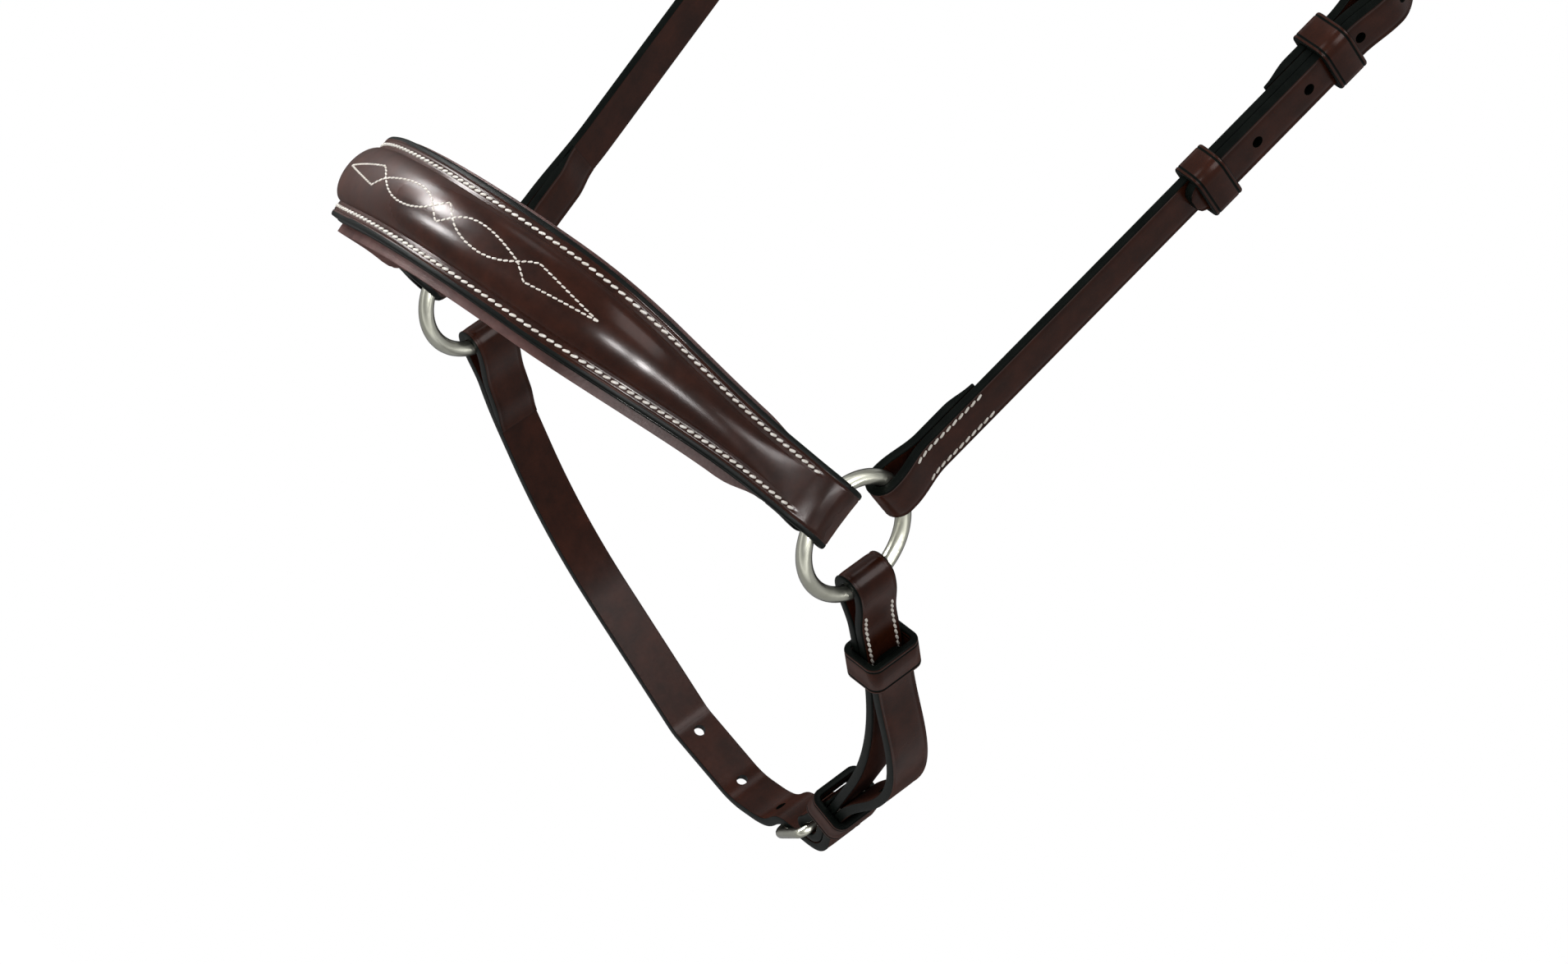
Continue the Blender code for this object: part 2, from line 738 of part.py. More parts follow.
def keeper(name, plane, guide, out, reach, width, inner, outer, parent):
    """A band round the straps between two offsets from the guide line, at a reach along it."""
    half_stack = (outer - inner) / 2 + KEEPER_ROOM
    half_width = width / 2 + KEEPER_ROOM
    curve = bpy.data.curves.new(name, "CURVE")
    curve.dimensions = "2D"
    curve.fill_mode = "BOTH"
    curve.extrude = KEEPER_WIDTH / 2
    inner_corner = KEEPER_CORNER - KEEPER_THICKNESS
    flat_spline(
        curve,
        rounded_box(half_stack + KEEPER_THICKNESS, half_width + KEEPER_THICKNESS, KEEPER_CORNER),
    )
    flat_spline(curve, rounded_box(half_stack, half_width, inner_corner))
    carrier = bpy.data.objects.new(name + "_outline", curve)
    CUTTERS.objects.link(carrier)
    bpy.context.view_layer.update()
    evaluated = carrier.evaluated_get(bpy.context.evaluated_depsgraph_get())
    mesh = bpy.data.meshes.new_from_object(evaluated)
    bpy.data.objects.remove(carrier, do_unlink=True)
    band = bmesh.new()
    band.from_mesh(mesh)
    bmesh.ops.remove_doubles(band, verts=band.verts, dist=WELD)
    band.to_mesh(mesh)
    band.free()
    middle = (inner + outer) / 2
    origin = plane.world(guide.place(reach, out * middle))
    ahead = guide.heading(reach)
    outward = (plane.across * -sin(ahead) + plane.along * cos(ahead)) * out
    frame = Matrix((outward, plane.up, outward.cross(plane.up))).transposed().to_4x4()
    frame.translation = origin
    mesh.transform(frame)
    set_outward(mesh)
    return finish(name, mesh, HAVANA, parent)


def wire(name, points, radius, closed, parent):
    """A round steel wire through points."""
    curve = bpy.data.curves.new(name, "CURVE")
    curve.dimensions = "3D"
    curve.bevel_depth = radius
    curve.bevel_resolution = WIRE_SIDES_RESOLUTION
    curve.use_fill_caps = not closed
    flat_spline(curve, points, closed)
    carrier = bpy.data.objects.new(name + "_line", curve)
    CUTTERS.objects.link(carrier)
    bpy.context.view_layer.update()
    evaluated = carrier.evaluated_get(bpy.context.evaluated_depsgraph_get())
    mesh = bpy.data.meshes.new_from_object(evaluated)
    bpy.data.objects.remove(carrier, do_unlink=True)
    tube = bmesh.new()
    tube.from_mesh(mesh)
    bmesh.ops.remove_doubles(tube, verts=tube.verts, dist=WELD)
    bmesh.ops.recalc_face_normals(tube, faces=tube.faces)
    tube.to_mesh(mesh)
    tube.free()
    return finish(name, mesh, STEEL, parent, smooth=WIRE_SMOOTH_ANGLE)


def buckle_frame(name, plane, guide, reach, width, parent):
    """A rectangular wire frame, with its heel bar at a reach and its far bar past it."""
    half = width / 2 + BUCKLE_SIDE_ROOM + BUCKLE_WIRE / 2
    outline = rounded_box(BUCKLE_LENGTH / 2, half, BUCKLE_CORNER)
    points = []
    for ahead, across in outline:
        flat = guide.place(reach) + buckle_ahead(guide, reach) * (ahead + BUCKLE_LENGTH / 2)
        points.append(tuple(plane.world(flat, across)))
    return wire(name, points, BUCKLE_WIRE / 2, True, parent)


def buckle_ahead(guide, reach):
    """The direction of the buckle's length, in the plane."""
    angle = guide.heading(reach + BUCKLE_LENGTH / 2)
    return np.array([cos(angle), sin(angle)])


def buckle_tongue(name, plane, guide, out, reach, parent):
    """The tongue, curled round the heel bar, with its tip on the far bar's outer side."""
    curl = BUCKLE_WIRE / 2 + GAP + TONGUE_WIRE / 2
    tip_level = BUCKLE_WIRE / 2 + TONGUE_REST_GAP + TONGUE_WIRE / 2
    ahead = buckle_ahead(guide, reach)
    outward = np.array([-ahead[1], ahead[0]]) * out
    heel = guide.place(reach)
    steps = ceil(TONGUE_CURL / FOLD_TURN)
    local = []
    for step in range(steps + 1):
        angle = pi / 2 + TONGUE_CURL * (1 - step / steps)
        local.append((curl * cos(angle), curl * sin(angle)))
    local.append((BUCKLE_LENGTH / 2, (curl + tip_level) / 2))
    local.append((BUCKLE_LENGTH + TONGUE_TIP_PAST, tip_level))
    points = [tuple(plane.world(heel + ahead * a + outward * b)) for a, b in local]
    return wire(name, points, TONGUE_WIRE / 2, False, parent)


def chape_slot(fold_middle):
    """The slot in a buckle strap's fold that the tongue turns in."""
    length = pi * BAR_FOLD + 2 * SLOT_BEHIND_BAR
    return (fold_middle, length, TONGUE_WIRE + 2 * SLOT_MARGIN)


def nearest_reach(line, point):
    """How far along a line it comes nearest to a point."""
    return float(line.lengths[np.argmin(np.linalg.norm(line.points - point, axis=1))])


# Building the noseband

near_ring_pivot = pivot("near_ring_centre", RING_AXIS + SIDEWAYS * RING_SIDE)
off_ring_pivot = pivot("off_ring_centre", RING_AXIS - SIDEWAYS * RING_SIDE)
nose_pivot = pivot("nosepiece_swing", RING_AXIS)
chin_pivot = pivot("chin_swing", RING_AXIS)

o_ring("near_ring", RING_SIDE, near_ring_pivot)
o_ring("off_ring", -RING_SIDE, off_ring_pivot)
nosepiece_face(nose_pivot)
nosepiece_core(nose_pivot)
nosepiece_backing(nose_pivot)
nosepiece_padding(nose_pivot)
nosepiece_lining(nose_pivot)

# Both lines start at the near ring and turn left, so their outer side is the right, at -1
HEAD_OUT = -1
CHIN_OUT = -1


def slotted_strap(name, plane, guide, out, turn_back, buckle, chape, width, parent):
    """A near strap: looped on its ring, and folded with a slot round its buckle's heel bar."""
    line = buckled_strap_line(guide, out, turn_back, buckle, chape, width)
    fold_reach = line.length - chape - pi * BAR_FOLD / 2
    return strap(name, plane, line, width, [chape_slot(fold_reach)], None, parent)


def billet_points(tail, buckle, closing, bulge):
    """Reach and offset of a billet from its tip, past the keepers and through the buckle."""
    points = []
    for reach in spread(tail, buckle + BUCKLE_LENGTH + closing):
        offset = through_buckle(buckle - reach, closing)
        points.append((reach, offset + bulge(reach)))
    return points


def billet_holes(line, guide, out, tail, buckle):
    """Holes a pitch apart along a billet, with the used one drawn longer by the tongue."""
    tongue_level = BUCKLE_WIRE / 2 + GAP + TONGUE_WIRE / 2
    crossing = min(
        spread(0.0, BUCKLE_LENGTH),
        key=lambda past: abs(through_buckle(-past, HEAD_SETTLE) - tongue_level),
    )
    used = nearest_reach(line, guide.place(buckle + crossing, out * tongue_level))
    holes = [(used - USED_HOLE_SHIFT, USED_HOLE_LENGTH, HOLE_DIAMETER)]
    for step in range(-HOLES_EACH_WAY, HOLES_EACH_WAY + 1):
        reach = used + step * HOLE_PITCH
        if step and reach > TIP_LENGTH + HOLE_DIAMETER:
            holes.append((reach, HOLE_DIAMETER, HOLE_DIAMETER))
    return holes


def single_run(guide, start):
    """A single layer on the guide line, which moves out to the outer layer of its ring loop."""
    shift_start = guide.length - LOOP_APPROACH
    points = [(reach, 0.0) for reach in spread(start, shift_start)[1:]]
    for reach in spread(shift_start, guide.length - LOOP_EASE)[1:-1]:
        share = (reach - shift_start) / (LOOP_APPROACH - LOOP_EASE)
        points.append((reach, LAYER_SIDE * eased(share)))
    return points


def head_strap():
    points = billet_points(CHEEK_TAIL_REACH, CHEEK_BUCKLE_REACH, HEAD_SETTLE, lambda reach: 0.0)
    points += single_run(HEAD, points[-1][0])
    points += ring_loop(HEAD, CHEEK_TURN_BACK, CHEEK_WIDTH)
    line = Line([HEAD.place(reach, HEAD_OUT * offset) for reach, offset in points])
    holes = billet_holes(line, HEAD, HEAD_OUT, CHEEK_TAIL_REACH, CHEEK_BUCKLE_REACH)
    return strap("head_strap", HEAD_PLANE, line, CHEEK_WIDTH, holes, 0.0)


def chin_tail_bulge(reach):
    """How far the chin strap's tail stands off the near half between its two keepers."""
    first = CHIN_RUNNER_REACH + KEEPER_WIDTH / 2
    last = CHIN_BUCKLE_REACH - FIXED_KEEPER_BACK - KEEPER_WIDTH / 2
    share = (reach - first) / (last - first)
    if not 0 < share < 1:
        return 0.0
    return CHIN_TAIL_BULGE * sin(pi * share) ** 2


def off_chin_strap(parent):
    closing = CHIN.length / 2 - CHIN_BUCKLE_REACH - BUCKLE_LENGTH
    points = billet_points(CHIN_TAIL_REACH, CHIN_BUCKLE_REACH, closing, chin_tail_bulge)
    points += single_run(CHIN, points[-1][0])
    points += ring_loop(CHIN, CHIN_TURN_BACK, CHIN_WIDTH)
    line = Line([CHIN.place(reach, CHIN_OUT * offset) for reach, offset in points])
    holes = billet_holes(line, CHIN, CHIN_OUT, CHIN_TAIL_REACH, CHIN_BUCKLE_REACH)
    return strap("off_chin_strap", CHIN_PLANE, line, CHIN_WIDTH, holes, 0.0, parent)


slotted_strap(
    "near_cheek_strap",
    HEAD_PLANE,
    HEAD,
    HEAD_OUT,
    CHEEK_TURN_BACK,
    CHEEK_BUCKLE_REACH,
    CHEEK_CHAPE,
    CHEEK_WIDTH,
    None,
)
head_strap()
slotted_strap(
    "near_chin_strap",
    CHIN_PLANE,
    CHIN,
    CHIN_OUT,
    CHIN_TURN_BACK,
    CHIN_BUCKLE_REACH,
    CHIN_CHAPE,
    CHIN_WIDTH,
    chin_pivot,
)
off_chin_strap(chin_pivot)


def buckle_set(prefix, plane, guide, out, buckle, width, carrier):
    """A buckle frame on the heel of a near strap, and its tongue on a pivot of its own."""
    buckle_frame(prefix + "_buckle_frame", plane, guide, buckle, width, carrier)
    tongue_pivot = pivot(prefix + "_tongue_pivot", plane.world(guide.place(buckle)))
    buckle_tongue(prefix + "_buckle_tongue", plane, guide, out, buckle, tongue_pivot)


buckle_set("cheek", HEAD_PLANE, HEAD, HEAD_OUT, CHEEK_BUCKLE_REACH, CHEEK_WIDTH, None)
buckle_set("chin", CHIN_PLANE, CHIN, CHIN_OUT, CHIN_BUCKLE_REACH, CHIN_WIDTH, chin_pivot)

HALF_STRAP = STRAP_THICKNESS / 2
DOUBLE_INNER = -LAYER_SIDE - HALF_STRAP
SINGLE_INNER = LAYER_SIDE - HALF_STRAP
STACK_OUTER = TAIL_SIDE + HALF_STRAP

CHEEK_KEEPERS = (
    ("cheek_fixed_keeper", CHEEK_BUCKLE_REACH - FIXED_KEEPER_BACK, DOUBLE_INNER),
    ("cheek_runner_keeper", CHEEK_RUNNER_REACH, SINGLE_INNER),
)
for keeper_name, reach, inner in CHEEK_KEEPERS:
    keeper(keeper_name, HEAD_PLANE, HEAD, HEAD_OUT, reach, CHEEK_WIDTH, inner, STACK_OUTER, None)

CHIN_KEEPERS = (
    ("chin_fixed_keeper", CHIN_BUCKLE_REACH - FIXED_KEEPER_BACK),
    ("chin_runner_keeper", CHIN_RUNNER_REACH),
)
for keeper_name, reach in CHIN_KEEPERS:
    keeper(
        keeper_name,
        CHIN_PLANE,
        CHIN,
        CHIN_OUT,
        reach,
        CHIN_WIDTH,
        DOUBLE_INNER,
        STACK_OUTER,
        chin_pivot,
    )
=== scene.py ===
import json
from math import ceil, cos, hypot, pi, radians, sin, sqrt

import bmesh
import bpy
import numpy as np
from mathutils import Matrix, Vector

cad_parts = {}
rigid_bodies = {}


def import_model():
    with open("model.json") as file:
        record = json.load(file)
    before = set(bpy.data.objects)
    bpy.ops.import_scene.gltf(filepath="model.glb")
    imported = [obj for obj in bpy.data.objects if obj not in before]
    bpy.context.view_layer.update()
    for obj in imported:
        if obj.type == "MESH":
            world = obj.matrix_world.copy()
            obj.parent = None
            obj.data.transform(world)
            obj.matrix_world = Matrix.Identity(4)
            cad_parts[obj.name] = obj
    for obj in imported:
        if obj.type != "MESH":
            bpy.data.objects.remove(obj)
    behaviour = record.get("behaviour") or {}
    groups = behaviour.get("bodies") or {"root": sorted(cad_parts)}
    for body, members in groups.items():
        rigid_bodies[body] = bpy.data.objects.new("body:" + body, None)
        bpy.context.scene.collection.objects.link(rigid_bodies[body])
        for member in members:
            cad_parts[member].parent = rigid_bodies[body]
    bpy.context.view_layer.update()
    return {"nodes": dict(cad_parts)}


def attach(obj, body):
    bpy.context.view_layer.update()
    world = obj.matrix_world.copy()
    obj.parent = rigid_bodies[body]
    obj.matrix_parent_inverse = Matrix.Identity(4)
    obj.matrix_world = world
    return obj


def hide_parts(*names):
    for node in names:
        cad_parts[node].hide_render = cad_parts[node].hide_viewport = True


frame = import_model()
print("frame loaded:", len(frame["nodes"]), "nodes")

# sizes that several pieces share, in metres
fit = {
    "gap": 0.0003,  # air between two layers
    "lineStep": 0.0005,  # how finely the guide lines are drawn
    "loopEase": 0.014,  # length in which a fold closes up
    "strapThickness": 0.0028,
    "keeperThickness": 0.0022,
    "keeperWidth": 0.010,
    "keeperRoom": 0.0004,
    "fixedKeeperMargin": 0.0005,
    "weld": 0.00001,  # points closer than this are merged
}


# selecting, as by hand

def deselectAll():
    if bpy.context.object and bpy.context.object.mode != "OBJECT":
        bpy.ops.object.mode_set(mode="OBJECT")
    bpy.ops.object.select_all(action="DESELECT")


def pickOnly(piece):
    deselectAll()
    piece.select_set(True)
    bpy.context.view_layer.objects.active = piece


def pickEdges(piece, test):  # leaves the piece in edit mode
    pickOnly(piece)
    bpy.ops.object.mode_set(mode="EDIT")
    bpy.ops.mesh.select_mode(type="EDGE")
    bpy.ops.mesh.select_all(action="DESELECT")
    shape = bmesh.from_edit_mesh(piece.data)
    for edge in shape.edges:
        if test(edge):
            edge.select_set(True)
    bmesh.update_edit_mesh(piece.data)


def applyModifiers(piece):
    pickOnly(piece)
    for modifier in list(piece.modifiers):
        bpy.ops.object.modifier_apply(modifier=modifier.name)


def joinInto(name, parts):
    deselectAll()
    for part in parts:
        part.select_set(True)
    bpy.context.view_layer.objects.active = parts[0]
    bpy.ops.object.join()
    joined = bpy.context.object
    joined.name = name
    return joined


def smoothBy(piece, angle=35):
    pickOnly(piece)
    bpy.ops.object.shade_smooth_by_angle(angle=radians(angle))


def faceOutwards(piece, weld=None):
    pickOnly(piece)
    bpy.ops.object.mode_set(mode="EDIT")
    bpy.ops.mesh.select_all(action="SELECT")
    if weld:
        bpy.ops.mesh.remove_doubles(threshold=weld)
    bpy.ops.mesh.normals_make_consistent(inside=False)
    bpy.ops.object.mode_set(mode="OBJECT")


def layPattern(piece, spot):  # spot turns a point's place into its place in the leather's pattern
    layer = piece.data.uv_layers.active or piece.data.uv_layers.new(name="UVMap")
    for loop in piece.data.loops:
        layer.data[loop.index].uv = spot(piece.data.vertices[loop.vertex_index].co)


def drawCurve(name, points, closed, flat):
    path = bpy.data.curves.new(name, "CURVE")
    path.dimensions = "2D" if flat else "3D"
    spline = path.splines.new("POLY")
    spline.points.add(len(points) - 1)
    for knot, point in zip(spline.points, points):
        knot.co = (*point, 0, 1) if len(point) == 2 else (*point, 1)
    spline.use_cyclic_u = closed
    drawn = bpy.data.objects.new(name, path)
    bpy.context.scene.collection.objects.link(drawn)
    return drawn


# guide lines: each strap follows a line in a plane, measured from the near ring's wire

class GuideLine:
    def __init__(self, points):
        self.points = np.array(points, float)
        legs = np.diff(self.points, axis=0)
        self.reaches = np.concatenate([[0.0], np.cumsum(np.linalg.norm(legs, axis=1))])
        self.length = float(self.reaches[-1])
        self.headings = np.unwrap(np.arctan2(legs[:, 1], legs[:, 0]))
        self.middles = (self.reaches[:-1] + self.reaches[1:]) / 2

    def heading(self, reach):
        return float(np.interp(reach, self.middles, self.headings))

    def place(self, reach, offset=0.0):  # offset is to the left of the line
        inside = min(max(reach, 0.0), self.length)
        x = np.interp(inside, self.reaches, self.points[:, 0])
        y = np.interp(inside, self.reaches, self.points[:, 1])
        turn = self.heading(inside)
        past = reach - inside
        return np.array([
            x + cos(turn) * past - sin(turn) * offset,
            y + sin(turn) * past + cos(turn) * offset,
        ])

    def nearest(self, point):
        return float(self.reaches[np.argmin(np.linalg.norm(self.points - point, axis=1))])


def walk(start, heading, legs):  # legs are (length, turn to the left)
    points = [np.array(start, float)]
    for length, turn in legs:
        steps = max(1, ceil(length / fit["lineStep"]))
        for _ in range(steps):
            middle = heading + turn / steps / 2
            points.append(points[-1] + length / steps * np.array([cos(middle), sin(middle)]))
            heading += turn / steps
    return points


def follow(guide, points):  # points are (reach, offset to the right of the guide)
    return GuideLine([guide.place(reach, -offset) for reach, offset in points])


def mirrored(points):
    return list(points) + [np.array([-x, y]) for x, y in reversed(points[:-1])]


def eased(share):
    share = min(max(share, 0.0), 1.0)
    return (1 - cos(pi * share)) / 2


def nearTo(value, middle, half):  # 1 at the middle, easing down to 0 at half away
    return eased(1 - abs(value - middle) / half)


def spread(start, end):
    return np.linspace(start, end, max(2, ceil(abs(end - start) / fit["lineStep"]) + 1))


def fold(reach, radius, side):
    steps = ceil(pi * radius / fit["lineStep"])
    angles = [pi * step / steps for step in range(1, steps)]
    return [(reach + side * radius * sin(angle), radius * cos(angle)) for angle in angles]


rings = {"hole": 0.030, "wire": 0.0045, "around": 144, "section": 28}
rings["radius"] = (rings["hole"] + rings["wire"]) / 2
rings["fold"] = rings["wire"] / 2 + fit["gap"] + fit["strapThickness"] / 2

nose = {
    "drop": radians(5.0),
    "front": (0.0477, radians(31.0)),
    "corner": (0.0228, radians(30.0)),
    "side": (0.0647, radians(14.0)),
}
noseLegs = [(length, -turn) for length, turn in (nose["front"], nose["corner"], nose["side"])]
noseHalf = walk((0.0, 0.0), 0.0, noseLegs)
noseForward = rings["radius"] - noseHalf[-1][1]
noseLine = GuideLine(mirrored([np.array([x, y + noseForward]) for x, y in reversed(noseHalf)]))
rings["side"] = float(noseLine.points[0][0])

head = {
    "width": 0.012,
    "flare": radians(6.0),
    "cheekLength": 0.205,
    "jawLength": 0.150,
    "jawTurn": radians(21.0),
    "pollRadius": 0.080,
    "turnBack": 0.034,
    "buckle": 0.186,
    "chape": 0.040,
    "runner": 0.118,
    "tail": 0.110,
    "settle": 0.030,
    "stitchPitch": 0.00235,
    "nearRows": ((0.0085, 0.0335), (0.1485, 0.1560), (0.1675, 0.1750)),  # where stitches start and end
    "offRow": (0.0335, 0.0085),  # the same, back from the off ring
}
pollTurn = pi / 2 + head["flare"] - head["jawTurn"]
headHalf = walk(
    (rings["side"], 0.0),
    pi / 2 - head["flare"],
    [
        (head["cheekLength"], 0.0),
        (head["jawLength"], head["jawTurn"]),
        (head["pollRadius"] * pollTurn, pollTurn),
    ],
)
headHalf += walk(headHalf[-1], pi, [(headHalf[-1][0], 0.0)])[1:]
headLine = GuideLine(mirrored(headHalf))
ringDepth = float(headHalf[-1][1]) + rings["radius"] - fit["strapThickness"] / 2

chin = {
    "drop": radians(20.0),
    "width": 0.013,
    "lead": (0.021, 0.0),
    "leadTurn": radians(4.5),
    "side": (0.071, radians(32.0)),
    "straight": 0.0435,
    "bendRadius": 0.010,
    "bendTurn": radians(21.0),
    "buckleStraight": 0.020,
    "turnBack": 0.030,
    "chape": 0.026,
    "runner": 0.0270,
    "tail": 0.0245,
    "tailBulge": 0.0078,
    "stitchPitch": 0.00215,
    "offRow": (0.0290, 0.0085),
}
chinBend = (chin["bendRadius"] * chin["bendTurn"], chin["bendTurn"])
chinHalf = walk(
    (rings["side"], rings["radius"]),
    pi / 2 + chin["leadTurn"],
    [chin["lead"], chin["side"], (chin["straight"], 0.0), chinBend, (chin["buckleStraight"], 0.0)],
)
chinRest = pi / 2 - chin["leadTurn"] - chin["side"][1] - chin["bendTurn"]
chinRadius = chinHalf[-1][0] / sin(pi / 2 - chinRest)
chinHalf += walk(chinHalf[-1], pi - chinRest, [(chinRadius * chinRest, chinRest)])[1:]
chinLine = GuideLine(mirrored(chinHalf))
chin["buckle"] = chin["lead"][0] + chin["side"][0] + chin["straight"] + chinBend[0]
chin["nearRows"] = ((0.0073, 0.0290), (chin["buckle"] - 0.0250, chin["buckle"] - 0.0110))


def planeOf(origin, along):  # the line's own x runs to the horse's left
    across = Vector((1, 0, 0))
    plane = Matrix((across, along, across.cross(along))).transposed().to_4x4()
    plane.translation = origin
    return plane


ringAxis = Vector((0, 0, -ringDepth))
nosePlane = planeOf(ringAxis, Vector((0, -cos(nose["drop"]), -sin(nose["drop"]))))
chinPlane = planeOf(ringAxis, Vector((0, cos(chin["drop"]), -sin(chin["drop"]))))
headPlane = planeOf(Vector((0, 0, rings["radius"] - ringDepth)), Vector((0, 0, 1)))

headRoute = (headLine, headPlane, head)
chinRoute = (chinLine, chinPlane, chin)


# materials

def plug(tree, node, inputs):  # each input is a number, a colour or another node's output
    for name, value in inputs.items():
        if isinstance(value, bpy.types.NodeSocket):
            tree.links.new(value, node.inputs[name])
        else:
            node.inputs[name].default_value = value


def addNode(tree, kind, inputs=None, **settings):
    node = tree.nodes.new(kind)
    for name, value in settings.items():
        setattr(node, name, value)
    plug(tree, node, inputs or {})
    return node


def newMaterial(name):
    made = bpy.data.materials.new(name)
    made.use_nodes = True
    return made, made.node_tree, made.node_tree.nodes["Principled BSDF"]


def combine(tree, operation, first, second):
    return addNode(tree, "ShaderNodeMath", {0: first, 1: second}, operation=operation).outputs[0]


def mixSurfaces(tree, output, share, first, second):  # the second shows where the share is 1
    mix = addNode(tree, "ShaderNodeMixShader", {0: share, 1: first.outputs[0], 2: second.outputs[0]})
    plug(tree, tree.nodes[output], {"Surface": mix.outputs[0]})


def mappedCoord(tree, output, scale=(1, 1, 1)):
    coord = addNode(tree, "ShaderNodeTexCoord").outputs[output]
    return addNode(tree, "ShaderNodeMapping", {"Vector": coord, "Scale": scale}).outputs["Vector"]


def noise(tree, vector, scale, detail, roughness=0.5):
    inputs = {"Vector": vector, "Scale": scale, "Detail": detail, "Roughness": roughness}
    return addNode(tree, "ShaderNodeTexNoise", inputs).outputs["Fac"]


def ramp(tree, share, stops):  # stops are (position, colour)
    node = addNode(tree, "ShaderNodeValToRGB", {"Fac": share})
    elements = node.color_ramp.elements
    while len(elements) < len(stops):
        elements.new(0.5)
    for element, (position, colour) in zip(elements, stops):
        element.position = position
        element.color = (*colour, 1)
    return node.outputs["Color"]


def mottle(tree, vector, look):
    share = noise(tree, vector, look["mottleScale"], 4.0, 0.6)
    return ramp(tree, share, list(zip(look["mottleSpread"], (look["dark"], look["light"]))))


def mapRange(tree, value, limits):  # from smallest, from largest, to smallest, to largest
    inputs = dict(zip(("From Min", "From Max", "To Min", "To Max"), limits))
    return addNode(tree, "ShaderNodeMapRange", {"Value": value, **inputs}).outputs["Result"]


def unevenGloss(tree, look, share):
    middle, apart = look["roughness"], look["roughnessSpread"]
    return mapRange(tree, share, (0, 1, middle - apart, middle + apart))


def turnedAway(tree):  # 0 where a surface faces the eye, 1 at its outline
    return addNode(tree, "ShaderNodeLayerWeight", {"Blend": 0.5}).outputs["Facing"]


def bumps(tree, layers):  # layers are (height, depth in metres)
    inputs = {"Strength": 1.0}
    for height, depth in layers:
        inputs.update({"Height": height, "Distance": depth})
        inputs["Normal"] = addNode(tree, "ShaderNodeBump", inputs).outputs["Normal"]
    return inputs["Normal"]


def leatherMaterial(name, look):
    made, tree, shader = newMaterial(name)
    flat = mappedCoord(tree, "UV")
    cells = {"Vector": flat, "Scale": look["grainScale"]}
    grain = addNode(tree, "ShaderNodeTexVoronoi", cells, feature="SMOOTH_F1").outputs["Distance"]
    fibre = noise(tree, mappedCoord(tree, "UV", look["fibreScale"]), 1.0, 3.0, 0.6)
    gloss = unevenGloss(tree, look, noise(tree, flat, look["polishScale"], 2.0))
    # the polish shines less where it turns away, so that a lamp behind it doesn't glare
    dull = mapRange(tree, turnedAway(tree), look["turnedAway"])
    plug(tree, shader, {
        "Base Color": mottle(tree, flat, look),
        "Roughness": combine(tree, "ADD", gloss, dull),
        "Specular IOR Level": look["specular"],
        "Normal": bumps(tree, [(grain, look["grainDepth"]), (fibre, look["fibreDepth"])]),
    })
    return made


havana = leatherMaterial("havana_leather_polished", {
    "dark": (0.0215, 0.0054, 0.0022),
    "light": (0.0450, 0.0112, 0.0050),
    "roughness": 0.235,
    "roughnessSpread": 0.05,
    "turnedAway": (0.42, 0.72, 0.0, 0.45),
    "specular": 0.085,
    "mottleScale": 120.0,
    "mottleSpread": (0.35, 0.7),
    "polishScale": 300.0,
    "grainScale": 2600.0,
    "grainDepth": 0.000006,
    "fibreScale": (1500, 260, 1),
    "fibreDepth": 0.000009,
})
liningSkin = leatherMaterial("lining_leather_soft", {
    "dark": (0.066, 0.026, 0.022),
    "light": (0.140, 0.066, 0.058),
    "roughness": 0.52,
    "roughnessSpread": 0.08,
    "turnedAway": (0.42, 0.72, 0.0, 0.3),
    "specular": 0.07,
    "mottleScale": 90.0,
    "mottleSpread": (0.35, 0.7),
    "polishScale": 200.0,
    "grainScale": 1500.0,
    "grainDepth": 0.00004,
    "fibreScale": (500, 150, 1),
    "fibreDepth": 0.00008,
})


def bumpyMaterial(name, look):  # edge paint or thread: a mottled colour over fine bumps
    made, tree, shader = newMaterial(name)
    place = mappedCoord(tree, "Object")
    plug(tree, shader, {
        "Base Color": mottle(tree, place, look),
        "Roughness": look["roughness"],
        "Specular IOR Level": look["specular"],
        "Normal": bumps(tree, [(noise(tree, place, look["bumpScale"], 2.0), look["bumpDepth"])]),
    })
    return made


paintTexture = {"mottleScale": 150.0, "mottleSpread": (0.35, 0.7), "bumpScale": 300.0, "bumpDepth": 0.000004}
edgePaint = bumpyMaterial("edge_paint_black_green", {
    "dark": (0.0028, 0.0040, 0.0034),
    "light": (0.0065, 0.0085, 0.0072),
    "roughness": 0.45,
    "specular": 0.03,
    **paintTexture,
})
waxedEdge = bumpyMaterial("edge_paint_black_green_waxed", {
    "dark": (0.0022, 0.0034, 0.0028),
    "light": (0.0050, 0.0068, 0.0056),
    "roughness": 0.42,
    "specular": 0.02,
    **paintTexture,
})
threadTexture = {"specular": 0.4, "mottleScale": 900.0, "mottleSpread": (0.3, 0.6), "bumpScale": 5200.0}
thread = bumpyMaterial("waxed_thread_cream", {
    "dark": (0.62, 0.56, 0.47),
    "light": (0.88, 0.84, 0.77),
    "roughness": 0.55,
    "bumpDepth": 0.00006,
    **threadTexture,
})
fineThread = bumpyMaterial("fine_thread_stone", {
    "dark": (0.62, 0.56, 0.48),
    "light": (0.88, 0.82, 0.74),
    "roughness": 0.5,
    "bumpDepth": 0.00004,
    **threadTexture,
})


